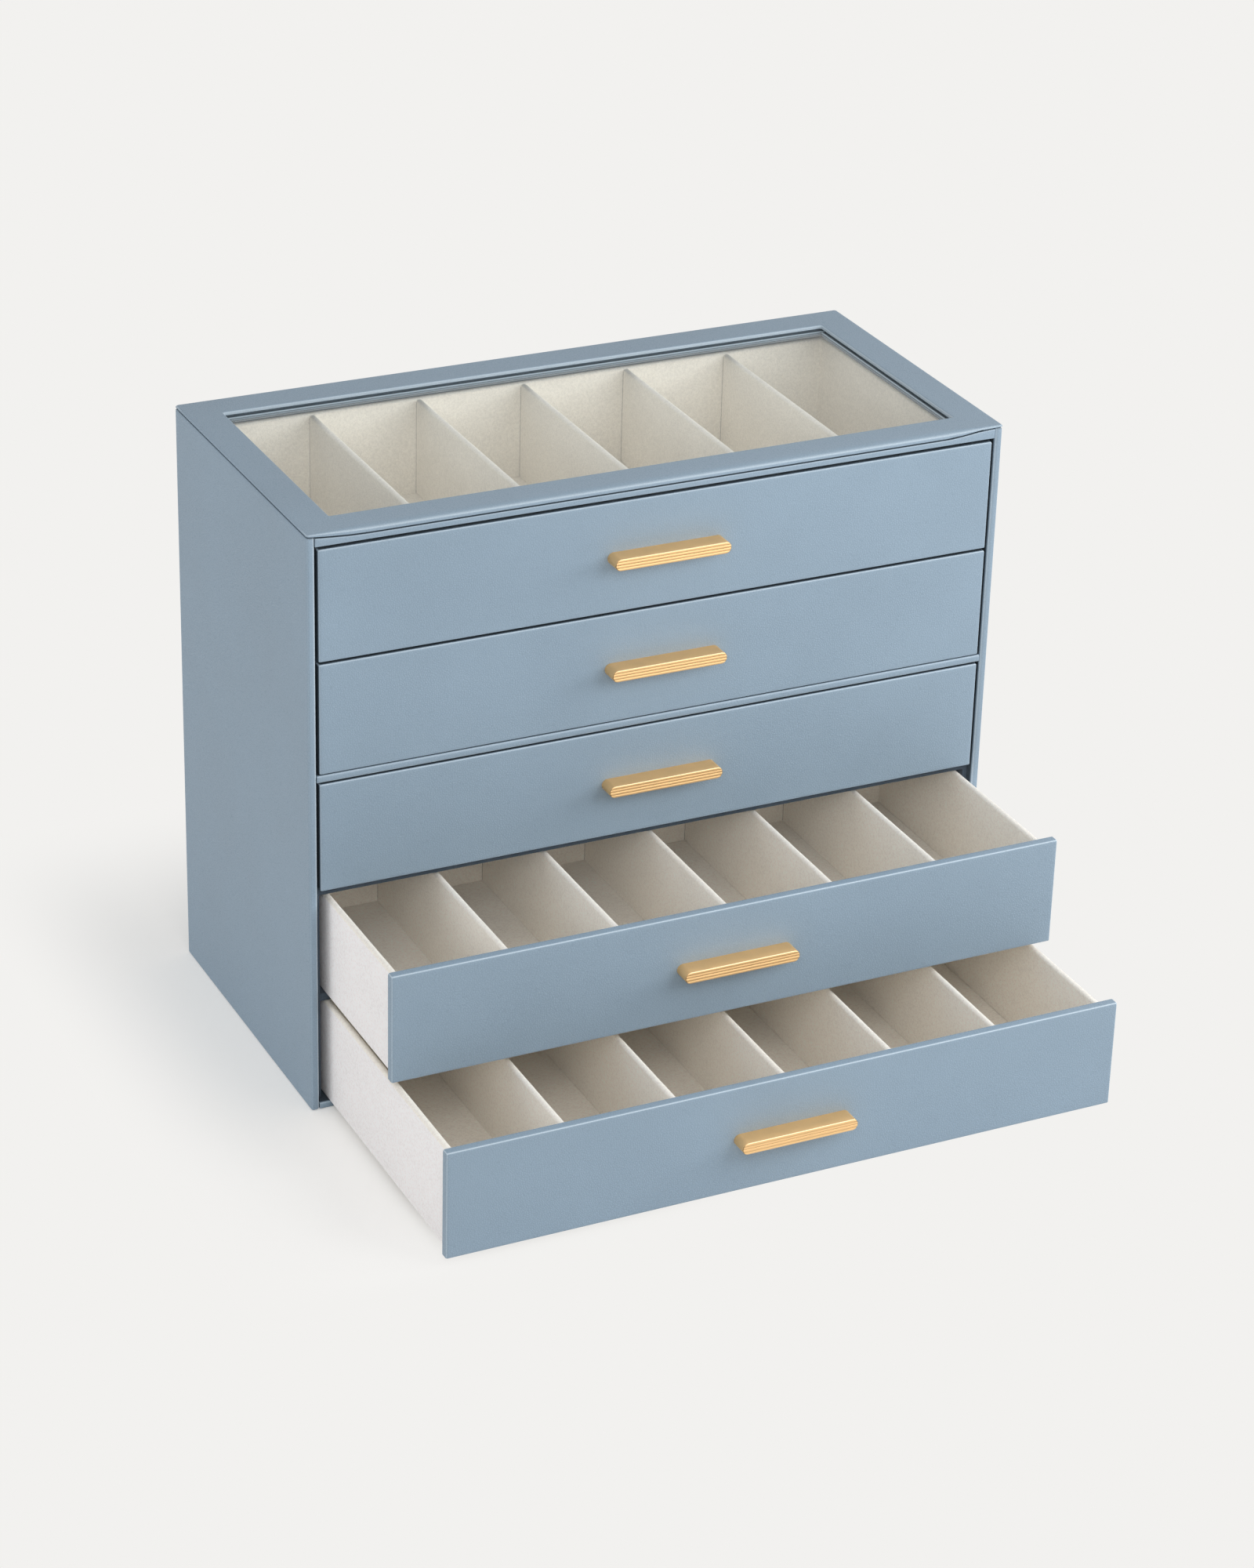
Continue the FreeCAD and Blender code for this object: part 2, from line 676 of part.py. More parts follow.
def drawer_end_walls(number):
    """Inner front wall, drilled for the screws, and back wall, in one file."""
    walls = []
    for end, y in (("inner_front", "wall_thickness / 2"),
                   ("back", "box_depth - wall_thickness / 2")):
        wall = board(f"drawer_{number}_{end}_wall", BOX_INNER_WIDTH, "wall_thickness",
                     "box_height")
        top = value("box_height")
        round_off(wall, "wrap_radius",
                  lambda middle, direction: near(middle.z, top) and along(direction, 0))
        if end == "inner_front":
            screw_holes_through(wall, "0 - wall_thickness", CLEAR_RADIUS, HANDLE_LEVEL,
                                "2 * wall_thickness", reverse=True)
        place(wall, y=y)
        walls.append(wall)
    return compound(f"drawer_{number}_end_walls", walls)


def drawer_dividers(number):
    """Dividers with a round top, evenly spaced between the side walls."""
    dividers = new_body(f"drawer_{number}_dividers")
    profile = new_sketch(dividers, "profile", "XZ_Plane", f"0 - {BOX_INNER_DEPTH}")
    half = "divider_thickness / 2"
    shoulder = f"( box_height - divider_drop - {half} )"
    middle = f"( {COMPARTMENT_PITCH} - {BOX_INNER_WIDTH} / 2 - {half} )"
    left, right = f"{middle} - {half}", f"{middle} + {half}"
    outline(profile, ((left, "base_thickness"), (right, "base_thickness"), (right, shoulder),
                      (left, shoulder)), half_circles=(2,))
    pad(dividers, profile, BOX_INNER_DEPTH)
    repeat(dividers, profile, COMPARTMENT_PITCH, "compartments - 1")
    return dividers


def handle(number):
    """Brass bar with round ends and reeds along its front. Its origin is on the panel."""
    bar = new_body(f"drawer_{number}_handle")
    profile = new_sketch(bar, "reeds", "YZ_Plane")
    reeds = SIZES["reeds"]
    groove = "( handle_height / reeds / 2 - handle_projection )"
    corners = [("0", "0 - handle_height / 2"), ("0", "handle_height / 2")]
    for line in range(reeds + 1):
        corners.append((groove, f"handle_height / 2 - {line} * handle_height / reeds"))
    outline(profile, corners, half_circles=range(2, 2 + reeds))
    pad(bar, profile, "handle_length", midplane=True)

    ends = new_sketch(bar, "ends", "XZ_Plane")
    run, rise = "( handle_length / 2 - handle_height / 2 )", "( handle_height / 2 )"
    outline(ends, ((f"0 - {run}", f"0 - {rise}"), (run, f"0 - {rise}"), (run, rise),
                   (f"0 - {run}", rise)), half_circles=(1, 3))
    rectangle(ends, "0 - handle_length", "0 - handle_height", "2 * handle_length",
              "2 * handle_height")
    pocket(bar, ends, "4 * handle_projection", midplane=True)
    screw_holes_through(bar, "0", "handle_screw_radius", "0",
                        "handle_screw_depth + handle_hole_spare", reverse=True)
    return bar


def handle_screws(number):
    """Two screws whose domed heads sit on the inner front wall."""
    screws = new_body(f"drawer_{number}_handle_screws")
    profile = new_sketch(screws, "profile", "XY_Plane")
    head_face = "( front_thickness + wall_thickness )"
    head_top = f"( {head_face} + screw_head_height )"
    tip = "( 0 - handle_screw_depth )"
    outline(profile, (("0", tip), ("handle_screw_radius", tip),
                      ("handle_screw_radius", head_face), ("screw_head_radius", head_face),
                      ("screw_head_radius", f"{head_face} + screw_head_height / 2"),
                      ("screw_head_radius / 2", head_top), ("0", head_top)))
    revolve(screws, profile, "V_Axis")
    slot = new_sketch(screws, "slot", "XZ_Plane", f"0 - {head_top}")
    centred_rectangle(slot, "3 * screw_head_radius", "screw_slot_width")
    pocket(screws, slot, "screw_slot_depth", reverse=True)
    repeat(screws, profile, "handle_screw_spacing", "2")
    return screws


def drawer(number):
    """One drawer: front, box, base, dividers, handle and screws, at its opening."""
    level = BOX_BOTTOM[number]
    face = f"{CASE_FRONT} - {OPENING[number]}"
    box_face = f"{BOX_FRONT} - {OPENING[number]}"

    front = drawer_front(number)
    place(front, y=f"{face} + front_thickness / 2", z=f"{level} + front_lift")
    side_walls = drawer_side_walls(number)
    place(side_walls, y=box_face, z=level)
    end_walls = drawer_end_walls(number)
    place(end_walls, y=box_face, z=level)
    base = box(f"drawer_{number}_base", BOX_INNER_WIDTH, BOX_INNER_DEPTH, "base_thickness",
               f"0 - {BOX_INNER_WIDTH} / 2", f"{box_face} + wall_thickness", level)
    dividers = drawer_dividers(number)
    place(dividers, y=f"{box_face} + wall_thickness", z=level)
    bar = handle(number)
    place(bar, y=face, z=f"{level} + {HANDLE_LEVEL}")
    screws = handle_screws(number)
    place(screws, x="0 - handle_screw_spacing / 2", y=face, z=f"{level} + {HANDLE_LEVEL}")
    for piece in (front, side_walls, end_walls, base, dividers, bar, screws):
        export(piece)


side_panels()
back_panel()
shelves()
side_liners()
top_rails()
lid()
hinges()
for drawer_number in DRAWERS:
    drawer(drawer_number)
doc.recompute()

for item in doc.Objects:
    if "Invalid" in item.State or "Error" in item.State:
        raise RuntimeError(f"{item.Name} failed: {item.State}")
for piece in parts:
    if piece.Shape.isNull() or not piece.Shape.isValid():
        raise RuntimeError(f"{piece.Label} has no valid shape")

os.makedirs("parts", exist_ok=True)
for piece in parts:
    piece.Shape.exportStep(f"parts/{piece.Label}.step")
print(f"{len(parts)} nodes, {sum(len(piece.Shape.Solids) for piece in parts)} solids")
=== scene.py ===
"""Looks of a five-drawer organizer box with a glazed lid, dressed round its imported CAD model.

Metres. The front faces -Y, +X is to the right and +Z is up. The origin is the centre of the
face that the case stands on. At rest drawers 4 and 5 stand open.
"""
from __future__ import annotations

import logging
import math
from dataclasses import dataclass, field
from enum import Enum
from functools import reduce
from itertools import product
from typing import Callable, Sequence

import bpy
import numpy as np
from mathutils import Euler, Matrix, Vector, noise

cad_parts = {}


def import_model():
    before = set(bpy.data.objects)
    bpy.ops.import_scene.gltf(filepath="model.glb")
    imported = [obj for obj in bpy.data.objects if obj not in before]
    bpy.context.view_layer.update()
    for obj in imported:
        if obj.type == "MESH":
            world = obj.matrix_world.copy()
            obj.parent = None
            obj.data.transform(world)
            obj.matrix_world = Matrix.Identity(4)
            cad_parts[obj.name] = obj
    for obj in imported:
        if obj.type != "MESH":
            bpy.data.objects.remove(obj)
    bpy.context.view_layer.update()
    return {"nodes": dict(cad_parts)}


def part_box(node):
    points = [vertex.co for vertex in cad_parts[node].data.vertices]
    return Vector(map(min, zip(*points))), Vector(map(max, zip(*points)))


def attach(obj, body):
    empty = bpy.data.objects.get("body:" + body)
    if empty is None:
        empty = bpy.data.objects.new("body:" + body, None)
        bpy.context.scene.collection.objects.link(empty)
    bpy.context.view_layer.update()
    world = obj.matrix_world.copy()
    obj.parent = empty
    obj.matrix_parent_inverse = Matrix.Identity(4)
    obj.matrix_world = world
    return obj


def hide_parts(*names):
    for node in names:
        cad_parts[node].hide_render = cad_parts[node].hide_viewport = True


log = logging.getLogger("organizer_box")

MM = 0.001
DRAWERS = (1, 2, 3, 4, 5)
LAST_SHUT = 3
# Per-point value of painted light and shade that the meshes carry and the finishes read.
EDGE_ATTRIBUTE = "wrap_edge"
SHARP_ANGLE = 50.0
BOARD_SEED, DIVIDER_SEED, SIDE_WALL_SEED, END_WALL_SEED = 0.173, 3.3, 0, 7
FLOAT, COLOR, VECTOR = "NodeSocketFloat", "NodeSocketColor", "NodeSocketVector"
COUNT, GEOMETRY, MATERIAL = "NodeSocketInt", "NodeSocketGeometry", "NodeSocketMaterial"

Point = tuple[float, float, float]
Profile = list[tuple[float, float]]
Rgb = tuple[int, int, int]
Socket = bpy.types.NodeSocket
Piece = bpy.types.Object


class Axis(Enum):
    """The row axis that a profile is drawn out along."""

    X = 0
    Y = 1


class Surface(Enum):
    """What a piece is covered with. The value names its material."""

    LEATHER = "faux_leather"
    SUEDE = "suede"
    LINING = "lining_cloth"
    GLASS = "lid_glass"
    HANDLE = "handle_brass"
    HINGE = "hinge_brass"
    SCREW = "screw"


# Node trees


class NodeGraph:
    """A small helper that adds and links nodes in one tree."""

    def __init__(self, tree: bpy.types.NodeTree) -> None:
        """Starts on a tree and empties it."""
        self.tree = tree
        self.tree.nodes.clear()

    def add(self, kind: str, settings: dict[str, object] | None = None,
            **inputs: object) -> bpy.types.Node:
        """Adds a node.

        Args:
            kind: The node's type, as Blender names it.
            settings: Properties to set on the node.
            inputs: Sockets by name, with underscores for spaces, each a value or an output
                socket to link from. A name that starts with "in" and a digit is an index.

        Returns:
            The new node.
        """
        node = self.tree.nodes.new(kind)
        for name, setting in (settings or {}).items():
            setattr(node, name, setting)
        for name, source in inputs.items():
            indexed = name.startswith("in") and name[2:].isdigit()
            socket = node.inputs[int(name[2:]) if indexed else name.replace("_", " ")]
            if isinstance(source, bpy.types.NodeSocket):
                self.tree.links.new(source, socket)
            else:
                socket.default_value = source
        return node

    def math(self, operation: str, first: object, second: object = 0.0,
             third: object = 0.0) -> Socket:
        """Adds a Math node for an operation on values or sockets."""
        return self.add("ShaderNodeMath", {"operation": operation}, in0=first, in1=second,
                        in2=third).outputs[0]

    def times(self, first: object, second: object) -> Socket:
        """Multiplies two values."""
        return self.math("MULTIPLY", first, second)

    def times_plus(self, first: object, second: object, third: object) -> Socket:
        """Multiplies two values and adds a third."""
        return self.math("MULTIPLY_ADD", first, second, third)

    def ramp(self, value: object, low: float, high: float, to_low: float = 0.0,
             to_high: float = 1.0) -> Socket:
        """Maps a value smoothly from the range low to high onto another one."""
        return self.add("ShaderNodeMapRange", {"interpolation_type": "SMOOTHSTEP"}, in0=value,
                        in1=low, in2=high, in3=to_low, in4=to_high).outputs[0]

    def scale(self, color: object, factor: object) -> Socket:
        """Scales a colour by a factor."""
        return self.add("ShaderNodeVectorMath", {"operation": "SCALE"}, in0=color,
                        Scale=factor).outputs[0]

    def mix(self, factor: object, first: object, second: object) -> Socket:
        """Mixes two colours."""
        return self.add("ShaderNodeMix", {"data_type": "RGBA"}, in0=factor, in6=first,
                        in7=second).outputs[2]

    def noise(self, place: Socket, scale: object, detail: float,
              **inputs: float) -> bpy.types.Node:
        """Adds a noise texture."""
        return self.add("ShaderNodeTexNoise", in0=place, Scale=scale, Detail=detail, **inputs)

    def group(self, tree: bpy.types.NodeTree, **inputs: object) -> bpy.types.NodeOutputs:
        """Adds a shader group and gives its outputs."""
        return self.add("ShaderNodeGroup", {"node_tree": tree}, **inputs).outputs

    def edge(self) -> Socket:
        """Reads the value of painted light and shade that the meshes carry."""
        return self.add("ShaderNodeAttribute",
                        {"attribute_name": EDGE_ATTRIBUTE}).outputs["Fac"]

    def bump(self, height: Socket, strength: float, depth: float) -> Socket:
        """Turns a height into a normal."""
        return self.add("ShaderNodeBump", Strength=strength, Distance=depth,
                        Height=height).outputs[0]


def start_tree(name: str, kind: str, inputs: dict[str, tuple[str, object]],
               outputs: dict[str, str]) -> tuple[NodeGraph, bpy.types.NodeOutputs]:
    """Starts a node tree with its sockets.

    Args:
        name: The tree's name.
        kind: Its type, as Blender names it.
        inputs: The socket type of each input, and its default or None.
        outputs: The socket type of each output.

    Returns:
        A graph to add to it, and what its inputs give.
    """
    tree = bpy.data.node_groups.new(name, kind)
    for label, (socket, default) in inputs.items():
        item = tree.interface.new_socket(label, in_out="INPUT", socket_type=socket)
        if default is not None:
            item.default_value = default
    for label, socket in outputs.items():
        tree.interface.new_socket(label, in_out="OUTPUT", socket_type=socket)
    graph = NodeGraph(tree)
    return graph, graph.add("NodeGroupInput").outputs


class SharedEffects:
    """The shader groups that several finishes use."""

    # Pale tint that a painted highlight on edges mixes towards.
    STRETCHED = (0.80, 0.92, 1.0, 1.0)
    GRAIN_DRIFT = (0.0009, 0.0009, 0.0009)
    ALONG_X = (0.02, 1.0, 1.0)

    def __init__(self) -> None:
        """Builds each group once."""
        self.tone = self._uneven_tone()
        self.grain = self._pebble_grain()
        self.nap = self._suede_nap()
        self.brushing = self._brushed_metal()

    def _uneven_tone(self) -> bpy.types.NodeTree:
        """Builds the group that makes a colour slightly uneven, with painted shade and
        highlight.

        Returns:
            The group. It puts out the colour and the mask that uneven roughness can use.
        """
        graph, given = start_tree("Uneven tone", "ShaderNodeTree", {
            "Position": (VECTOR, None), "Color": (COLOR, None), "Spread": (FLOAT, 0.05),
            "Scale": (FLOAT, 12.0), "Edge": (FLOAT, 0.0), "Edge lift": (FLOAT, 0.1),
            "Seam shade": (FLOAT, 0.85), "Stretched": (COLOR, self.STRETCHED),
        }, {"Color": COLOR, "Mask": FLOAT})
        cloud = graph.noise(given["Position"], given["Scale"], 3.0, Roughness=0.55).outputs[0]
        swing = graph.times(graph.math("SUBTRACT", cloud, 0.5), given["Spread"])
        # An edge value below zero darkens the colour as painted shade; above zero it mixes in a
        # pale painted highlight.
        seam = graph.math("MINIMUM", given["Edge"], 0.0)
        shade = graph.times_plus(seam, given["Seam shade"], 1.0)
        shaded = graph.scale(given["Color"],
                             graph.times(graph.math("ADD", swing, 1.0), shade))
        lift = graph.times(graph.math("MAXIMUM", given["Edge"], 0.0), given["Edge lift"])
        graph.add("NodeGroupOutput", Color=graph.mix(lift, shaded, given["Stretched"]),
                  Mask=cloud)
        return graph.tree

    def _pebble_grain(self) -> bpy.types.NodeTree:
        """Builds the group for the fine pebbles pressed into the faux leather.

        Returns:
            The group. It puts out the pebbles' height and the mask of the creases between.
        """
        graph, given = start_tree("Pebble grain", "ShaderNodeTree", {
            "Position": (VECTOR, None), "Scale": (FLOAT, 900.0),
        }, {"Height": FLOAT, "Crease": FLOAT})
        place, scale = given["Position"], given["Scale"]
        drift = graph.noise(place, graph.times(scale, 0.35), 1.0)
        shifted = graph.add("ShaderNodeVectorMath", {"operation": "MULTIPLY_ADD"},
                            in0=drift.outputs["Color"], in1=self.GRAIN_DRIFT, in2=place)
        cells = graph.add("ShaderNodeTexVoronoi", {"feature": "DISTANCE_TO_EDGE"},
                          Vector=shifted.outputs[0], Scale=scale).outputs["Distance"]
        fine = graph.noise(place, graph.times(scale, 2.6), 2.0).outputs[0]
        graph.add("NodeGroupOutput",
                  Height=graph.times_plus(fine, 0.25, graph.ramp(cells, 0.0, 0.34)),
                  Crease=graph.ramp(cells, 0.0, 0.12, 1.0, 0.0))
        return graph.tree

    def _suede_nap(self) -> bpy.types.NodeTree:
        """Builds the group for the short brushed pile of the microsuede.

        Returns:
            The group. It puts out the pile's height and its light and dark flecks.
        """
        graph, given = start_tree("Suede nap", "ShaderNodeTree", {
            "Position": (VECTOR, None), "Scale": (FLOAT, 1000.0),
        }, {"Height": FLOAT, "Fleck": FLOAT})
        place, scale = given["Position"], given["Scale"]
        pile = graph.noise(place, scale, 4.0, Roughness=0.62).outputs[0]
        stroke = graph.noise(place, graph.times(scale, 0.50), 3.0, Distortion=0.6).outputs[0]
        fleck = graph.math("ADD", graph.times(pile, 0.55), graph.times(stroke, 0.45))
        graph.add("NodeGroupOutput", Height=graph.times_plus(stroke, 0.6, pile),
                  Fleck=graph.ramp(fleck, 0.32, 0.68))
        return graph.tree

    def _brushed_metal(self) -> bpy.types.NodeTree:
        """Builds the group for fine brushing along X on metal.

        Returns:
            The group. It puts out the scratches' height.
        """
        graph, given = start_tree("Brushed metal", "ShaderNodeTree", {
            "Position": (VECTOR, None), "Fineness": (FLOAT, 6000.0),
        }, {"Height": FLOAT})
        drawn = graph.add("ShaderNodeVectorMath", {"operation": "MULTIPLY"},
                          in0=given["Position"], in1=self.ALONG_X).outputs[0]
        lines = graph.noise(drawn, given["Fineness"], 2.0).outputs[0]
        graph.add("NodeGroupOutput", Height=lines)
        return graph.tree


# Finishes


class MaterialGraph(NodeGraph):
    """A material's graph, with its Object coordinates and the shared groups at hand."""

    def __init__(self, material: bpy.types.Material, shared: SharedEffects) -> None:
        """Starts on a material.

        Args:
            material: The material. Its nodes are removed first.
            shared: The shader groups.
        """
        material.use_nodes = True
        super().__init__(material.node_tree)
        self.shared = shared
        self.place = self.add("ShaderNodeTexCoord").outputs["Object"]


def linear(srgb: Rgb) -> tuple[float, ...]:
    """Turns an sRGB colour into the linear one that a socket takes.

    Args:
        srgb: The colour, from 0 to 255.

    Returns:
        The linear colour, with a full alpha.
    """
    parts = [channel / 255 for channel in srgb]
    return (*(part / 12.92 if part <= 0.04045 else ((part + 0.055) / 1.055) ** 2.4
              for part in parts), 1.0)


@dataclass(frozen=True)
class Finish:
    """Base of every finish: its surface, its sRGB colour, and how uneven and how rough it is.
    """

    surface: Surface
    srgb: Rgb
    tone_spread: float = 0.10
    tone_scale: float = 20.0
    roughness: float = 0.5
    roughness_spread: float = 0.10

    def build(self, shared: SharedEffects) -> bpy.types.Material:
        """Builds the node material.

        Args:
            shared: The shader groups.

        Returns:
            The material.
        """
        material = bpy.data.materials.new(self.surface.value)
        graph = MaterialGraph(material, shared)
        graph.add("ShaderNodeOutputMaterial", Surface=self.shader(graph))
        return material

    def shader(self, graph: MaterialGraph) -> Socket:
        """Adds the finish's own nodes.

        Args:
            graph: The material's graph.

        Returns:
            The shader.
        """
        raise NotImplementedError

    def tone(self, graph: MaterialGraph, **inputs: object) -> bpy.types.NodeOutputs:
        """Makes the finish's colour, or the one in the inputs, uneven."""
        return graph.group(graph.shared.tone, **{"Color": linear(self.srgb), **inputs},
                           Position=graph.place, Spread=self.tone_spread,
                           Scale=self.tone_scale)

    def uneven_roughness(self, graph: MaterialGraph, mask: Socket) -> Socket:
        """Spreads the finish's roughness evenly to both sides by a mask."""
        return graph.times_plus(mask, self.roughness_spread,
                                self.roughness - self.roughness_spread / 2)


@dataclass(frozen=True)
class FauxLeather(Finish):
    """Satin faux leather with a fine pebble grain, wrapped round boards."""

    tone_spread: float = 0.16
    tone_scale: float = 14.0
    roughness: float = 0.46
    edge_lift: float = 0.46
    grain_scale: float = 760.0
    grain_depth: float = 0.00012
    grain_strength: float = 0.55
    crease_shade: float = 0.10
    crease_roughness: float = 0.12
    rubbed_gloss: float = 0.10
    index: float = 1.40

    def shader(self, graph: MaterialGraph) -> Socket:
        """Adds the leather, with a painted highlight along its edges and painted shade at
        seams.

        Args:
            graph: The material's graph.

        Returns:
            The shader.
        """
        edge = graph.edge()
        tone = self.tone(graph, Edge=edge, Edge_lift=self.edge_lift)
        grain = graph.group(graph.shared.grain, Position=graph.place, Scale=self.grain_scale)
        # Painted shade in the grain's creases.
        dark = graph.times_plus(grain["Crease"], -self.crease_shade, 1.0)
        rough = self.uneven_roughness(graph, tone["Mask"])
        rough = graph.times_plus(grain["Crease"], self.crease_roughness, rough)
        # Lower roughness where the highlight is painted along edges.
        rough = graph.times_plus(graph.math("MAXIMUM", edge, 0.0), -self.rubbed_gloss, rough)
        bump = graph.bump(grain["Height"], self.grain_strength, self.grain_depth)
        return graph.add("ShaderNodeBsdfPrincipled", Roughness=rough, IOR=self.index,
                         Base_Color=graph.scale(tone["Color"], dark), Normal=bump).outputs[0]


@dataclass(frozen=True)
class Microsuede(Finish):
    """Matt cloth with a short brushed pile. On a drawer's outer sides it gets a paler, cooler
    tint as painted light.

    An edge value below zero marks an outer side, and one above 1 a joint with a line of
    painted shade.
    """

    tone_scale: float = 30.0
    roughness: float = 0.88
    outside: Rgb = (255, 252, 252)
    edge_lift: float = 0.04
    joint_shade: float = 0.8
    joint_full: float = 1.6
    nap_scale: float = 1000.0
    nap_depth: float = 0.00040
    nap_strength: float = 0.6
    fleck: float = 0.16
    fleck_roughness: float = 0.08
    specular: float = 0.2
    sheen: float = 0.25
    sheen_roughness: float = 0.5

    def shader(self, graph: MaterialGraph) -> Socket:
        """Adds the cloth, with light and dark strokes in its pile.

        Args:
            graph: The material's graph.

        Returns:
            The shader.
        """
        edge = graph.edge()
        # Outer sides get the paler, cooler tint as painted light; the inside keeps the warmer
        # colour.
        outer = graph.math("MAXIMUM", graph.times(edge, -1.0), 0.0)
        tint = graph.mix(outer, linear(self.srgb), linear(self.outside))
        tone = self.tone(graph, Color=tint, Edge=graph.math("MINIMUM", edge, 1.0),
                         Edge_lift=self.edge_lift, Seam_shade=0.0)
        nap = graph.group(graph.shared.nap, Position=graph.place, Scale=self.nap_scale)
        # Joints get a line of painted shade.
        joint = graph.ramp(edge, 1.0, self.joint_full)
        stroke = graph.times(graph.times_plus(nap["Fleck"], self.fleck, 1.0 - self.fleck / 2),
                             graph.times_plus(joint, -self.joint_shade, 1.0))
        rough = graph.times_plus(nap["Fleck"], self.fleck_roughness, self.roughness)
        bump = graph.bump(nap["Height"], self.nap_strength, self.nap_depth)
        return graph.add("ShaderNodeBsdfPrincipled", Specular_IOR_Level=self.specular,
                         Sheen_Weight=self.sheen, Sheen_Roughness=self.sheen_roughness,
                         Base_Color=graph.scale(tone["Color"], stroke), Roughness=rough,
                         Normal=bump).outputs[0]


@dataclass(frozen=True)
class SatinMetal(Finish):
    """Satin metal with fine brushing, with a painted highlight on its crests."""

    tone_spread: float = 0.12
    tone_scale: float = 120.0
    roughness: float = 0.30
    # Pale colour painted on the crests as a highlight, and the edge values where it starts and
    # is full.
    polished: Rgb = (250, 232, 200)
    polish_ends: tuple[float, float] = (0.05, 0.75)
    metallic: float = 1.0
    fineness: float = 5000.0
    brushing_strength: float = 0.35
    brushing_depth: float = 0.00001

    def shader(self, graph: MaterialGraph) -> Socket:
        """Adds the metal, paler on its crests by a painted highlight and darker by painted
        shade where its edge value is below zero.

        Args:
            graph: The material's graph.

        Returns:
            The shader.
        """
        edge = graph.edge()
        tone = self.tone(graph, Edge=edge, Edge_lift=0.0)
        # Crests get the pale painted highlight; values below zero get painted shade from the
        # tone group.
        color = graph.mix(graph.ramp(edge, *self.polish_ends), tone["Color"],
                          linear(self.polished))
        brushed = graph.group(graph.shared.brushing, Position=graph.place,
                              Fineness=self.fineness)
        bump = graph.bump(brushed["Height"], self.brushing_strength, self.brushing_depth)
        return graph.add("ShaderNodeBsdfPrincipled", Base_Color=color, Metallic=self.metallic,
                         Roughness=self.uneven_roughness(graph, tone["Mask"]),
                         Normal=bump).outputs[0]


@dataclass(frozen=True)
class ClearGlass(Finish):
    """Clear window glass that lets light through to what lies under it.

    It is coated, so that it mirrors less than bare glass. Hence the low index.
    """

    tone_spread: float = 0.01
    roughness: float = 0.02
    index: float = 1.18
    passing_tint: tuple[float, ...] = (0.95, 0.96, 0.96, 1.0)

    def shader(self, graph: MaterialGraph) -> Socket:
        """Adds the glass.

        Args:
            graph: The material's graph.

        Returns:
            The shader.
        """
        tone = self.tone(graph)
        body = graph.add("ShaderNodeBsdfPrincipled", Base_Color=tone["Color"], IOR=self.index,
                         Roughness=self.roughness, Transmission_Weight=1.0)
        path = graph.add("ShaderNodeLightPath").outputs
        passing = graph.math("MAXIMUM", path["Is Shadow Ray"], path["Is Diffuse Ray"])
        clear = graph.add("ShaderNodeBsdfTransparent", Color=self.passing_tint)
        return graph.add("ShaderNodeMixShader", in0=passing, in1=body.outputs[0],
                         in2=clear.outputs[0]).outputs[0]


class Wardrobe:
    """All finishes, each built once."""

    FINISHES: tuple[Finish, ...] = (
        FauxLeather(Surface.LEATHER, (145, 165, 182)),
        Microsuede(Surface.SUEDE, (254, 248, 238)),
        # Dark slate cloth, darkened further as painted shade for the gaps where it shows.
        Microsuede(Surface.LINING, (72, 84, 96), outside=(72, 84, 96)),
        ClearGlass(Surface.GLASS, (250, 252, 251)),
        SatinMetal(Surface.HANDLE, (248, 206, 148), roughness=0.50, metallic=0.8),
        SatinMetal(Surface.HINGE, (208, 170, 110), roughness=0.34),
        SatinMetal(Surface.SCREW, (190, 188, 184), roughness=0.32),
    )

    def __init__(self) -> None:
        """Builds every finish."""
        shared = SharedEffects()
        self.materials = {finish.surface: finish.build(shared) for finish in self.FINISHES}

    def dress(self, piece: Piece, surface: Surface) -> None:
        """Gives a piece one finish.

        Args:
            piece: The piece.
            surface: Its finish.
        """
        piece.data.materials.clear()
        piece.data.materials.append(self.materials[surface])


# Meshes


def clamp(value: float) -> float:
    """Keeps a value from 0 to 1."""
    return min(max(value, 0.0), 1.0)


def smooth(share: float) -> float:
    """Eases a share from 0 to 1 in and out."""
    return share * share * (3 - 2 * share)


def around(count: int) -> list[tuple[int, int]]:
    """Pairs each number below a count with the next one, round a ring."""
    return [(k, (k + 1) % count) for k in range(count)]


def put(name: str, data: bpy.types.ID) -> Piece:
    """Makes an object and puts it into the scene.

    Args:
        name: The object's name.
        data: Its mesh, camera or lamp.

    Returns:
        The object.
    """
    made = bpy.data.objects.new(name, data)
    bpy.context.scene.collection.objects.link(made)
    return made


def put_smooth(name: str, mesh: bpy.types.Mesh, sharp_angle: float = SHARP_ANGLE) -> Piece:
    """Shades a mesh and puts it into the scene.

    Args:
        name: The object's name.
        mesh: The mesh, which holds its own place.
        sharp_angle: Edges that turn by more than this many degrees stay sharp.

    Returns:
        The object.
    """
    mesh.shade_smooth()
    mesh.set_sharp_from_angle(angle=math.radians(sharp_angle))
    return put(name, mesh)


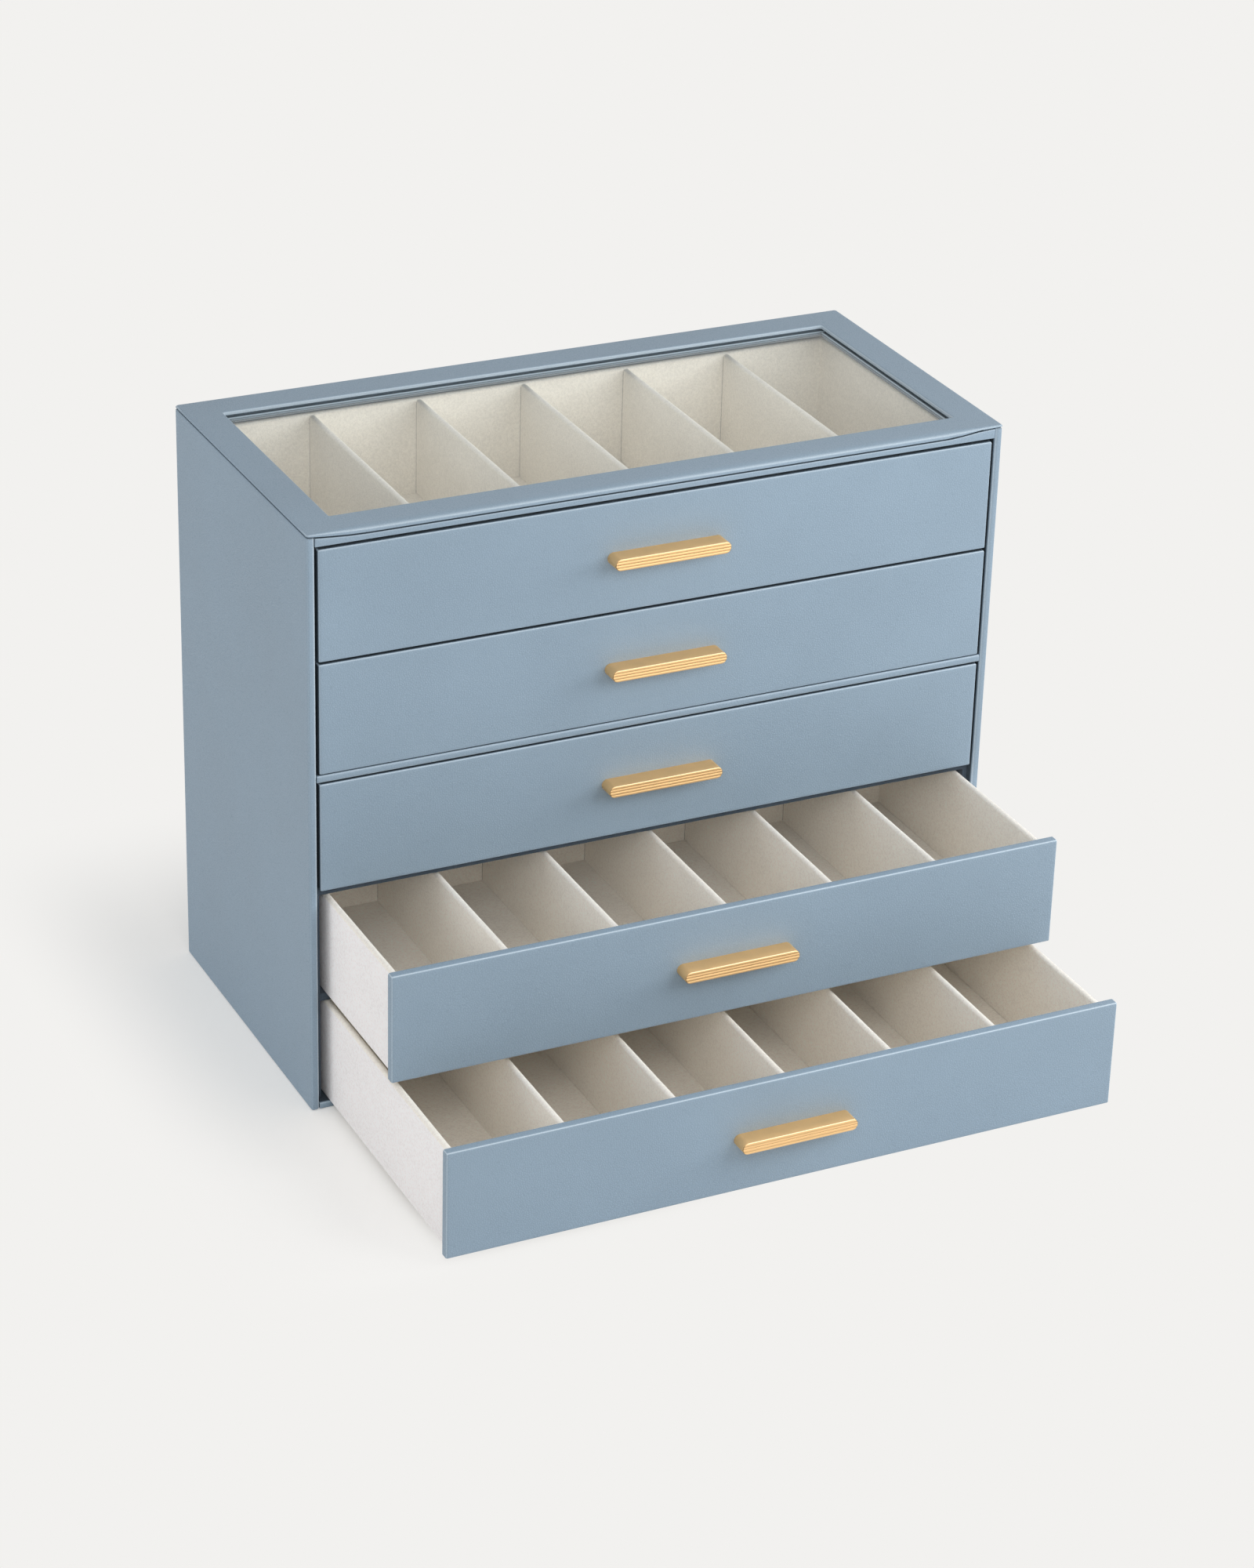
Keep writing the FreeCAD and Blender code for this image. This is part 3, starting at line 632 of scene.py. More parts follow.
@dataclass
class Shell:
    """Points and faces of a mesh being made, with one painted light and shade value per point.
    """

    points: list[Point] = field(default_factory=list)
    faces: list[tuple[int, ...]] = field(default_factory=list)
    edge: list[float] = field(default_factory=list)

    def join(self, other: "Shell") -> None:
        """Adds another shell's points and faces to this one.

        Args:
            other: The shell to add.
        """
        start = len(self.points)
        self.points += other.points
        self.edge += other.edge
        self.faces += [tuple(start + corner for corner in face) for face in other.faces]

    def to_object(self, name: str, sharp_angle: float = SHARP_ANGLE, **marks: list[float]
                  ) -> Piece:
        """Makes a Blender object of the shell.

        Args:
            name: The object's name.
            sharp_angle: Edges that turn by more than this many degrees stay sharp.
            marks: More values per point, by the name of their attribute.

        Returns:
            The object, linked to the scene, with its place in its mesh.
        """
        mesh = bpy.data.meshes.new(name)
        mesh.from_pydata(self.points, [], self.faces)
        mesh.validate()
        for label, values in {EDGE_ATTRIBUTE: self.edge, **marks}.items():
            attribute = mesh.attributes.new(label, "FLOAT", "POINT")
            attribute.data.foreach_set("value", np.array(values, np.float32))
        return put_smooth(name, mesh, sharp_angle)


def lattice(low: float, high: float, first_radius: float, last_radius: float, step: float,
            arc: int, margin: float = 1.6 * MM) -> list[float]:
    """Divides one side of a rounded box.

    Args:
        low: Lower end of the side.
        high: Upper end of the side.
        first_radius: Radius of the edges at its lower end.
        last_radius: Radius of the edges at its upper end.
        step: Rough size of the cells between the edges.
        arc: Cells in an eighth of a turn of an edge.
        margin: Width of the cells next to the edges, where the side is long enough.

    Returns:
        The places along the side. They crowd together at its edges.
    """
    turn = [math.tan(math.radians(45 * k / arc)) for k in range(arc + 1)]
    start = [low + first_radius * (1 - t) for t in reversed(turn)]
    end = [high - last_radius * (1 - t) for t in turn]
    span = (high - last_radius) - (low + first_radius)
    margin = min(margin, span / 4)
    inner_low, inner_high = low + first_radius + margin, high - last_radius - margin
    cells = max(1, round((inner_high - inner_low) / step))
    middle = [inner_low + (inner_high - inner_low) * k / cells for k in range(cells + 1)]
    return start + middle + end


def surface_wobble(place: Vector, seed: float, length: float, depth: float) -> float:
    """Reads a smooth unevenness at a place.

    Args:
        place: The place.
        seed: Shifts the pattern, so that pieces differ.
        length: Rough distance between its swells.
        depth: Largest depth.

    Returns:
        A depth from zero to the largest one.
    """
    return depth * (0.5 + 0.5 * noise.noise(place / length + Vector((seed, 0.37 * seed, 0))))


@dataclass
class WrappedBoard:
    """A board wrapped in soft sheet: a box with round edges and a faint unevenness.

    Its edges are elliptic: each side gives its own radius, so that a front edge can be a
    round bead while the edge next to a seam stays tight. A side that faces a seam can carry
    painted shade, all over or mostly near its edges. A painted highlight along its edges leans
    towards one direction, and a crown lifts the top.
    """

    low: Vector
    high: Vector
    radii_low: Point = (1.2 * MM,) * 3
    radii_high: Point = (1.2 * MM,) * 3
    edge_limit: float = 2.1
    # Painted shade on sides that face seams, and the direction that the painted highlight leans
    # to.
    dark_low: Point = (0.0, 0.0, 0.0)
    dark_high: Point = (0.0, 0.0, 0.0)
    dark_edge: float = 12.0
    dark_middle: float = 1.0
    rub: Point = (0.0, 0.0, 0.0)
    full_bend: float = 0.29
    crown: Callable[[Vector], float] | None = None
    step: float = 12 * MM
    arc: int = 3
    wobble: float = 0.07 * MM
    wobble_length: float = 45 * MM
    seed: float = 0.0

    def shell(self) -> Shell:
        """Builds the board's surface.

        Returns:
            The shell.
        """
        limits = [(self.high[k] - self.low[k]) / self.edge_limit for k in range(3)]
        radii = [[min(side[k], limits[k]) for k in range(3)]
                 for side in (self.radii_low, self.radii_high)]
        lines = [lattice(self.low[k], self.high[k], radii[0][k], radii[1][k], self.step,
                         self.arc) for k in range(3)]
        inner_low = self.low + Vector(radii[0])
        inner_high = self.high - Vector(radii[1])
        shell = Shell()
        numbers: dict[tuple[int, int, int], int] = {}

        def corner(key: tuple[int, int, int]) -> int:
            """Adds a point of the lattice once, drawn in to the round surface.

            Args:
                key: Its place in the three lines.

            Returns:
                The point's number.
            """
            if key not in numbers:
                place = Vector(lines[k][key[k]] for k in range(3))
                core = Vector(min(max(place[k], inner_low[k]), inner_high[k]) for k in range(3))
                own = Vector(radii[int(place[k] > core[k])][k] for k in range(3))
                reach = Vector((place[k] - core[k]) / own[k] for k in range(3)).normalized()
                depth = surface_wobble(place, self.seed, self.wobble_length, self.wobble)
                place = core + Vector(reach[k] * (own[k] - depth) for k in range(3))
                if self.crown and reach.z > 0:
                    place.z += self.crown(place)
                numbers[key] = len(shell.points)
                shell.points.append(tuple(place))
                middle = all(self.arc < key[k] < len(lines[k]) - 1 - self.arc
                             for k in range(3) if abs(reach[k]) < 0.5)
                shell.edge.append(self._edge_value(reach, middle))
            return numbers[key]

        for axis in range(3):
            first, second = (axis + 1) % 3, (axis + 2) % 3
            for side, i, j in product((0, len(lines[axis]) - 1), range(len(lines[first]) - 1),
                                      range(len(lines[second]) - 1)):
                face = []
                for step_i, step_j in ((0, 0), (1, 0), (1, 1), (0, 1)):
                    key = [0, 0, 0]
                    key[axis], key[first], key[second] = side, i + step_i, j + step_j
                    face.append(corner(tuple(key)))
                shell.faces.append(tuple(face if side else reversed(face)))
        return shell

    def _edge_value(self, reach: Vector, middle: bool) -> float:
        """Reads the painted highlight and painted shade on the wrap.

        Args:
            reach: The direction that the wrap faces.
            middle: Whether the place lies on a side's middle.

        Returns:
            Up to 1 or more where a highlight is painted, and below 0 where shade is painted.
        """
        bend = min(1.0, (1.0 - max(abs(n) for n in reach)) / self.full_bend)
        rubbed = bend * bend * max(0.0, 1.0 + reach.dot(Vector(self.rub)))
        shade = sum((self.dark_high if reach[k] > 0 else self.dark_low)[k]
                    * abs(reach[k]) ** self.dark_edge for k in range(3))
        return rubbed - shade * (self.dark_middle if middle else 1.0)


def rounded_profile(width: float, height: float, radii: Sequence[float],
                    steps: int = 5) -> Profile:
    """Draws a rectangle with its own radius at each corner.

    Args:
        width: Its width.
        height: Its height.
        radii: Radii at the lower left, lower right, upper right and upper left corners.
        steps: Straight runs in each round corner.

    Returns:
        Its points, from the lower left, with the inside on the left.
    """
    centres = ((radii[0], radii[0], 180), (width - radii[1], radii[1], 270),
               (width - radii[2], height - radii[2], 0), (radii[3], height - radii[3], 90))
    points: Profile = []
    for (x, y, start), radius in zip(centres, radii):
        for step in range(steps + 1):
            angle = math.radians(start + 90 * step / steps)
            points.append((x + radius * math.cos(angle), y + radius * math.sin(angle)))
    return points


@dataclass
class DrawnStrip:
    """A profile drawn out along X or Y, with flat ends and a faint unevenness."""

    profile: Profile
    axis: Axis
    across: float
    bottom: float
    start: float
    end: float
    step: float = 8 * MM
    wobble: float = 0.12 * MM
    wobble_length: float = 22 * MM
    wobble_height: float = 0.15
    seed: float = 0.0
    outside_low: float = 0.0
    outside_high: float = 0.0
    crest_depth: float = 1.6 * MM
    end_shade: float = 0.0
    end_line: float = 1.1 * MM

    def shell(self) -> Shell:
        """Builds the strip.

        Returns:
            The shell. Its edge value is up to 1 along the strip's round top, negative on an
            outer side of the drawer, and above 1 where the strip's ends meet other pieces.
        """
        shell = Shell()
        low, high = self.start + self.end_line, self.end - self.end_line
        count = max(2, round((high - low) / self.step))
        stations = [self.start, *(low + (high - low) * k / count for k in range(count + 1)),
                    self.end]
        ring = len(self.profile)
        middle = [sum(p[k] for p in self.profile) / ring for k in (0, 1)]
        for station in stations:
            for a, b in self.profile:
                place = self._place(a, b, station)
                depth = surface_wobble(place, self.seed, self.wobble_length, self.wobble)
                inward = Vector((middle[0] - a, self.wobble_height * (middle[1] - b)))
                inward = inward.normalized() * depth
                shell.points.append(tuple(self._place(a + inward.x, b + inward.y, station)))
                shell.edge.append(self._edge_value(a < middle[0], b, station))
        turn = 1 if self.axis is Axis.Y else -1
        for near in range(0, ring * (count + 2), ring):
            far = near + ring
            shell.faces += [(near + k, far + k, far + after, near + after)[::turn]
                            for k, after in around(ring)]
        first = tuple(range(ring))
        last = tuple(far + k for k in first)
        shell.faces += [first[::turn], last[::-turn]]
        return shell

    def _edge_value(self, low_side: bool, height: float, station: float) -> float:
        """Reads the edge value at a place.

        Args:
            low_side: Whether it is on the strip's lower side along the other axis.
            height: Its height in the profile.
            station: Its place along the strip.

        Returns:
            The edge value.
        """
        # Painted highlight on the round top, a line of painted shade at joint ends, the paler
        # painted tint on outer sides.
        crest = 1.0 - (max(p[1] for p in self.profile) - height) / self.crest_depth
        if crest > 0.0:
            return crest
        if self.end_shade > 0.0 and station in (self.start, self.end):
            return self.end_shade
        return -(self.outside_low if low_side else self.outside_high)

    def _place(self, a: float, b: float, station: float) -> Vector:
        """Turns a point of the profile into a place.

        Args:
            a: Its place across the strip.
            b: Its height.
            station: Its place along the strip.

        Returns:
            The place.
        """
        if self.axis is Axis.Y:
            return Vector((self.across + a, station, self.bottom + b))
        return Vector((station, self.across + a, self.bottom + b))


@dataclass(frozen=True)
class SeamRise:
    """How the seam under the lid climbs over the side panels, above the rails' level."""

    rise: float = 2.4 * MM
    full_from: float = 213 * MM
    none_below: float = 183 * MM
    left_reach: float = 0.81
    left_power: float = 1.7

    def at(self, x: float) -> float:
        """Reads the rise. It is steeper on the right than on the left.

        Args:
            x: The place along X.

        Returns:
            The rise.
        """
        share = (abs(x) - self.none_below) / (self.full_from - self.none_below)
        if x < 0:
            return self.rise * clamp(share * self.left_reach) ** self.left_power
        return self.rise * smooth(clamp(share))


@dataclass
class LidRing:
    """The lid's frame: one section carried round the window, with round corners.

    Its front rolls down to the seam, and over the side panels its rim is thinner. Its edges
    carry a painted highlight, and its seam, underside and rebate painted shade.
    """

    low: Vector
    high: Vector
    seam: SeamRise
    width: float = 22 * MM
    radius: float = 1.1 * MM
    lower_radius: float = 0.3 * MM
    roll_depth: float = 6 * MM
    roll_height: float = 2.6 * MM
    seam_gap: float = 0.35 * MM
    roll_fade: float = 40 * MM
    rim_width: float = 11.5 * MM
    # Painted shade at the seam and underneath, and how strong the painted highlight is on the
    # sill and on the side runs.
    dark_width: float = 3 * MM
    seam_shade: float = 0.9
    open_shade: float = 0.2
    sill_height: float = 0.3 * MM
    sill_rub: float = 0.8
    cross_rub: float = 0.2
    corner_radius: float = 1.4 * MM
    rebate_width: float = 6 * MM
    rebate_depth: float = 1.8 * MM
    wobble: float = 0.06 * MM
    wobble_length: float = 50 * MM
    wobble_above: float = 3 * MM
    seed: float = 3.1
    top_cells: tuple[float, ...] = (0.12, 0.35, 0.65, 0.88)
    arc_steps: int = 8
    corner_steps: int = 5
    run_cells: tuple[int, int] = (36, 16)

    def shell(self) -> Shell:
        """Builds the ring.

        Returns:
            The shell.
        """
        inner = self._loop(0.0)
        outward = [(x - a, y - b) for (x, y), (a, b) in zip(self._loop(1.0), inner)]
        sections = [self._section(x + self.width * a, y + self.width * b)
                    for (x, y), (a, b) in zip(inner, outward)]
        count, rings = len(inner), len(sections[0])
        shell = Shell()
        for ring in range(rings):
            for k, ((x, y), (a, b)) in enumerate(zip(inner, outward)):
                out, height, edge = sections[k][ring]
                place = Vector((x + out * a, y + out * b, self.low.z + height))
                if height > self.wobble_above:
                    place.z -= surface_wobble(place, self.seed, self.wobble_length,
                                              self.wobble)
                shell.points.append(tuple(place))
                shell.edge.append(edge)
        for ring, following in around(rings):
            shell.faces += [(ring * count + k, ring * count + after, following * count + after,
                             following * count + k) for k, after in around(count)]
        return shell

    def _section(self, x: float, y: float) -> list[Point]:
        """Lists the section's points at a place on the lid's outline.

        Args:
            x: The outline's place along X.
            y: Its place along Y.

        Returns:
            For each point its distance out from the window, its height and its edge value.
        """
        thick = self.high.z - self.low.z
        rise = self.seam_gap + self.seam.at(x)
        front = y < self.low.y + 1 * MM
        share = smooth(clamp((self.high.x - abs(x)) / self.roll_fade) if front else 0.0)
        deep = self.radius + share * (self.roll_depth - self.radius)
        tall = self.radius + share * (self.roll_height - self.radius)
        lengthways = abs(y) > abs(x) * self.high.y / self.high.x - self.width / 2
        # The painted highlight is weaker on the side runs than along the front and back.
        rub = 1.0 if lengthways else self.cross_rub

        def arc(out: float, height: float, across: float, up: float, start: float,
                shade: float = 0.0) -> list[Point]:
            """Draws a quarter of an ellipse, clockwise.

            Args:
                out: Its centre's distance out from the window.
                height: Its centre's height.
                across: Its half width.
                up: Its half height.
                start: Its start angle in degrees.
                shade: How much painted shade it gets towards its end. It gets a painted
                    highlight instead where this is 0.

            Returns:
                Its points.
            """
            points = []
            for step in range(self.arc_steps + 1):
                angle = math.radians(start - 90 * step / self.arc_steps)
                normal = math.atan2(math.sin(angle) * across, math.cos(angle) * up)
                edge = rub * math.sin(2 * normal) ** 8
                if shade:
                    edge = -shade * step / self.arc_steps
                points.append((out + across * math.cos(angle), height + up * math.sin(angle),
                               edge))
            return points

        small, rim = self.lower_radius, self.width - self.rim_width
        # The window's edge and sill carry a painted highlight.
        window = arc(self.radius, thick - self.radius, self.radius, self.radius, 180)
        lower = self.arc_steps // 2 + 1
        window[:lower] = [(out, height, max(edge, self.sill_rub))
                          for out, height, edge in window[:lower]]
        top = self.width - deep - self.radius
        # The lower arc, the underside and the rebate carry painted shade.
        return [
            (0.0, self.rebate_depth, -1.0),
            (0.0, self.rebate_depth + self.sill_height, self.sill_rub), *window,
            *((self.radius + along * top, thick, 0.0) for along in self.top_cells),
            *arc(self.width - deep, thick - tall, deep, tall, 90),
            *arc(self.width - small, rise + small, small, small, 0, self.seam_shade),
            (self.width - self.dark_width, rise, -self.open_shade),
            (rim, rise, -self.open_shade), (rim - 0.1 * MM, 0.0, -self.open_shade),
            (self.rebate_width + 1 * MM, 0.0, -self.open_shade),
            (self.rebate_width, 0.0, -self.seam_shade),
            (self.rebate_width, self.rebate_depth, -1.0)]

    def _loop(self, out: float) -> Profile:
        """Lists the places round the window.

        Args:
            out: Their distance out from it.

        Returns:
            The places.
        """
        half_x = (self.high.x - self.low.x) / 2 - self.width + out
        half_y = (self.high.y - self.low.y) / 2 - self.width + out
        centre_x = (self.high.x + self.low.x) / 2
        centre_y = (self.high.y + self.low.y) / 2
        radius = self.corner_radius
        flat_x, flat_y = half_x - radius, half_y - radius
        quarters = ((1, 1, (flat_x, half_y), (-flat_x, half_y)),
                    (-1, 1, (-half_x, flat_y), (-half_x, -flat_y)),
                    (-1, -1, (-flat_x, -half_y), (flat_x, -half_y)),
                    (1, -1, (half_x, -flat_y), (half_x, flat_y)))
        loop: Profile = []
        for quarter, (sign_x, sign_y, start, end) in enumerate(quarters):
            for step in range(self.corner_steps + 1):
                angle = math.radians(90 * quarter + 90 * step / self.corner_steps)
                loop.append((sign_x * flat_x + radius * math.cos(angle),
                             sign_y * flat_y + radius * math.sin(angle)))
            cells = self.run_cells[quarter % 2]
            for step in range(1, cells):
                share = step / cells
                loop.append((start[0] + share * (end[0] - start[0]),
                             start[1] + share * (end[1] - start[1])))
        return [(centre_x + x, centre_y + y) for x, y in loop]


@dataclass
class HandleBar:
    """The blank of a handle: a bar with round ends and soft rims, before it is reeded."""

    low: Vector
    high: Vector
    rim: float = 0.5 * MM
    # Painted highlight along the rim's top and bottom, painted shade round its ends.
    rim_polish: float = 0.9
    end_dark: float = 1.1
    rows: int = 48
    columns: int = 20
    rim_steps: int = 3

    def build(self, name: str) -> Piece:
        """Builds the blank, closed all round.

        Args:
            name: The object's name.

        Returns:
            The object. Each of its points carries its height from 0 to 1, how far it faces
            front, and the light painted on its rim: a painted highlight along the top and
                bottom,
            painted shade round the ends.
        """
        self._shell = Shell()
        self._marks: dict[str, list[float]] = {"reed_height": [], "reed_front": [],
                                               "reed_rim": []}
        back, front = self.high.y, self.low.y
        levels = [(0.0, back, 0.0), (0.0, back + 0.5 * (front - back), 0.0)]
        for step in range(self.rim_steps):
            angle = math.radians(90 * step / self.rim_steps)
            levels.append((self.rim * (1 - math.cos(angle)),
                           front + self.rim * (1 - math.sin(angle)), math.sin(angle)))
        rings = [[self._point(inset, y, row, column, facing)
                  for row, column in self._boundary()] for inset, y, facing in levels]
        grid = [[self._point(self.rim, front, row, column, 1.0)
                 for column in range(self.columns + 1)] for row in range(self.rows + 1)]
        rings.append([grid[row][column] for row, column in self._boundary()])
        faces = self._shell.faces
        for first, second in zip(rings, rings[1:]):
            faces += [(first[k], first[after], second[after], second[k])
                      for k, after in around(len(first))]
        for under, over in zip(grid, grid[1:]):
            faces += [(under[k], under[k + 1], over[k + 1], over[k])
                      for k in range(self.columns)]
        faces.append(tuple(reversed(rings[0])))
        return self._shell.to_object(name, **self._marks)

    def _boundary(self) -> list[tuple[int, int]]:
        """Lists the grid's outer places: along the bottom, up, back along the top, down.

        Returns:
            The row and column of each.
        """
        last_row, last_column = self.rows, self.columns
        return ([(0, column) for column in range(last_column + 1)]
                + [(row, last_column) for row in range(1, last_row)]
                + [(last_row, column) for column in range(last_column, -1, -1)]
                + [(row, 0) for row in range(last_row - 1, 0, -1)])

    def _point(self, inset: float, y: float, row: int, column: int, facing: float) -> int:
        """Adds one point of the bar.

        Args:
            inset: How far the outline is drawn in.
            y: The point's place along Y.
            row: Its row, from the bottom.
            column: Its column, from the left.
            facing: How far it faces front, from 0 to 1.

        Returns:
            The point's number.
        """
        half_height = (self.high.z - self.low.z) / 2
        run = (self.high.x - self.low.x) / 2 - half_height
        radius = half_height - inset
        angle = math.radians(-90 + 180 * row / self.rows)
        reach = run + radius * math.cos(angle)
        share = math.sin(math.pi / 2 * (-1 + 2 * column / self.columns))
        z = radius * math.sin(angle)
        self._shell.points.append(((self.low.x + self.high.x) / 2 + reach * share, y,
                                   (self.low.z + self.high.z) / 2 + z))
        self._shell.edge.append(0.0)
        # Painted highlight along the top and bottom of the rim, painted shade round the ends.
        bright = (self.rim_polish * math.sin(angle) ** 4
                  - self.end_dark * math.cos(angle) * abs(share) ** 8)
        self._marks["reed_height"].append(0.5 + z / (2 * half_height))
        self._marks["reed_front"].append(facing)
        self._marks["reed_rim"].append(4 * facing * (1 - facing) * bright)
        return len(self._shell.points) - 1


# Geometry node trees


class PieceTree:
    """Base of the geometry node trees: each works on one piece and covers it."""

    NAME = ""
    SIZES: dict[str, tuple[str, object]] = {}

    def __init__(self) -> None:
        """Builds the tree, which ends in plain geometry with its material."""
        graph, given = start_tree(self.NAME, "GeometryNodeTree", {
            "Geometry": (GEOMETRY, None), **self.SIZES, "Finish": (MATERIAL, None),
        }, {"Geometry": GEOMETRY})
        real = graph.add("GeometryNodeRealizeInstances", Geometry=self.work(graph, given))
        covered = graph.add("GeometryNodeSetMaterial", Geometry=real.outputs[0],
                            Material=given["Finish"])
        graph.add("NodeGroupOutput", Geometry=covered.outputs[0])
        self.tree = graph.tree

    def work(self, graph: NodeGraph, given: bpy.types.NodeOutputs) -> Socket:
        """Adds the tree's own nodes.

        Args:
            graph: The tree's graph.
            given: What its inputs give.

        Returns:
            The geometry.
        """
        raise NotImplementedError

    def apply(self, piece: Piece, name: str, **values: object) -> Piece:
        """Runs the tree on a piece and leaves a plain mesh.

        Args:
            piece: The piece. It is used up.
            name: Name of the result.
            values: The tree's inputs by name, with underscores for spaces.

        Returns:
            The finished piece, with its place in its mesh.
        """
        modifier = piece.modifiers.new("Tree", "NODES")
        modifier.node_group = self.tree
        for item in self.tree.interface.items_tree:
            label = item.name.replace(" ", "_")
            if item.item_type == "SOCKET" and item.in_out == "INPUT" and label in values:
                modifier[item.identifier] = values[label]
        piece.update_tag()
        graph = bpy.context.evaluated_depsgraph_get()
        mesh = bpy.data.meshes.new_from_object(piece.evaluated_get(graph))
        mesh.name = name
        result = put_smooth(name, mesh)
        bpy.data.objects.remove(piece)
        return result


class RowTree(PieceTree):
    """Repeats a piece in a row along X."""

    NAME = "Row of dividers"
    SIZES = {"Count": (COUNT, 5), "Pitch": (FLOAT, 0.07)}

    def work(self, graph: NodeGraph, given: bpy.types.NodeOutputs) -> Socket:
        """Adds the row.

        Args:
            graph: The tree's graph.
            given: What its inputs give.

        Returns:
            The geometry.
        """
        spacing = graph.add("ShaderNodeCombineXYZ", X=given["Pitch"])
        line = graph.add("GeometryNodeMeshLine", {"mode": "OFFSET"}, Count=given["Count"],
                         Offset=spacing.outputs[0])
        return graph.add("GeometryNodeInstanceOnPoints", Points=line.outputs[0],
                         Instance=given["Geometry"]).outputs[0]


class ReedTree(PieceTree):
    """Presses half-round reeds along the front of a bar."""

    NAME = "Reeds"
    SIZES = {"Reeds": (FLOAT, 4.0), "Reed depth": (FLOAT, 0.35 * MM), "Patina": (FLOAT, 0.8)}

    def work(self, graph: NodeGraph, given: bpy.types.NodeOutputs) -> Socket:
        """Adds the reeds, and stores the light painted on each place: a highlight on the
        crests, shade in the grooves.

        Args:
            graph: The tree's graph.
            given: What its inputs give.

        Returns:
            The geometry.
        """
        height, facing, rim = (
            graph.add("GeometryNodeInputNamedAttribute", {"data_type": "FLOAT"},
                      Name=label).outputs[0]
            for label in ("reed_height", "reed_front", "reed_rim"))
        within = graph.math("FRACT", graph.times(height, given["Reeds"]))
        off_centre = graph.times_plus(within, 2.0, -1.0)
        left = graph.math("SUBTRACT", 1.0, graph.times(off_centre, off_centre))
        swell = graph.math("SQRT", graph.math("MAXIMUM", left, 0.0))
        sunk = graph.times(graph.math("SUBTRACT", 1.0, swell), given["Reed depth"])
        offset = graph.add("ShaderNodeCombineXYZ", Y=graph.times(sunk, facing))
        moved = graph.add("GeometryNodeSetPosition", Geometry=given["Geometry"],
                          Offset=offset.outputs[0])
        # Above the split a crest gets a painted highlight, below it the groove gets painted
        # shade.
        crest = graph.times(graph.math("SUBTRACT", swell, given["Patina"]), facing)
        return graph.add("GeometryNodeStoreNamedAttribute",
                         {"data_type": "FLOAT", "domain": "POINT"},
                         Geometry=moved.outputs[0], Name=EDGE_ATTRIBUTE,
                         Value=graph.math("ADD", crest, rim)).outputs[0]


# Sub-assemblies


@dataclass
class Assembly:
    """Base of the sub-assemblies: what they dress with, and what they add."""

    body = "case"

    wardrobe: Wardrobe
    nodes: dict[str, Piece]

    def keep(self, surface: Surface, *names: str) -> None:
        """Keeps CAD nodes as they are and gives them a finish.

        Args:
            surface: The finish.
            names: The nodes.
        """
        for name in names:
            self.wardrobe.dress(self.nodes[name], surface)
            log.info("%s keeps its shape in %s", name, surface.value)

    def settle(self, piece: Piece, surface: Surface, *replaced: str) -> None:
        """Dresses a new piece, ties it to its body and hides the CAD nodes it stands for.

        Args:
            piece: The piece.
            surface: Its finish.
            replaced: The CAD nodes it stands for.
        """
        self.wardrobe.dress(piece, surface)
        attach(piece, self.body)
        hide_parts(*replaced)
        log.info("%s rides on %s in %s", piece.name, self.body, surface.value)

    def board(self, node: str, surface: Surface = Surface.LEATHER, **sizes: object) -> None:
        """Replaces a CAD board by a wrapped one of the same size.

        Args:
            node: The CAD node.
            surface: Its finish.
            sizes: Fields of WrappedBoard that differ from its defaults.
        """
        low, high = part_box(node)
        seed = sum(map(ord, node)) * BOARD_SEED
        shell = WrappedBoard(low, high, seed=seed, **sizes).shell()
        self.settle(shell.to_object(f"{node}_wrapped"), surface, node)


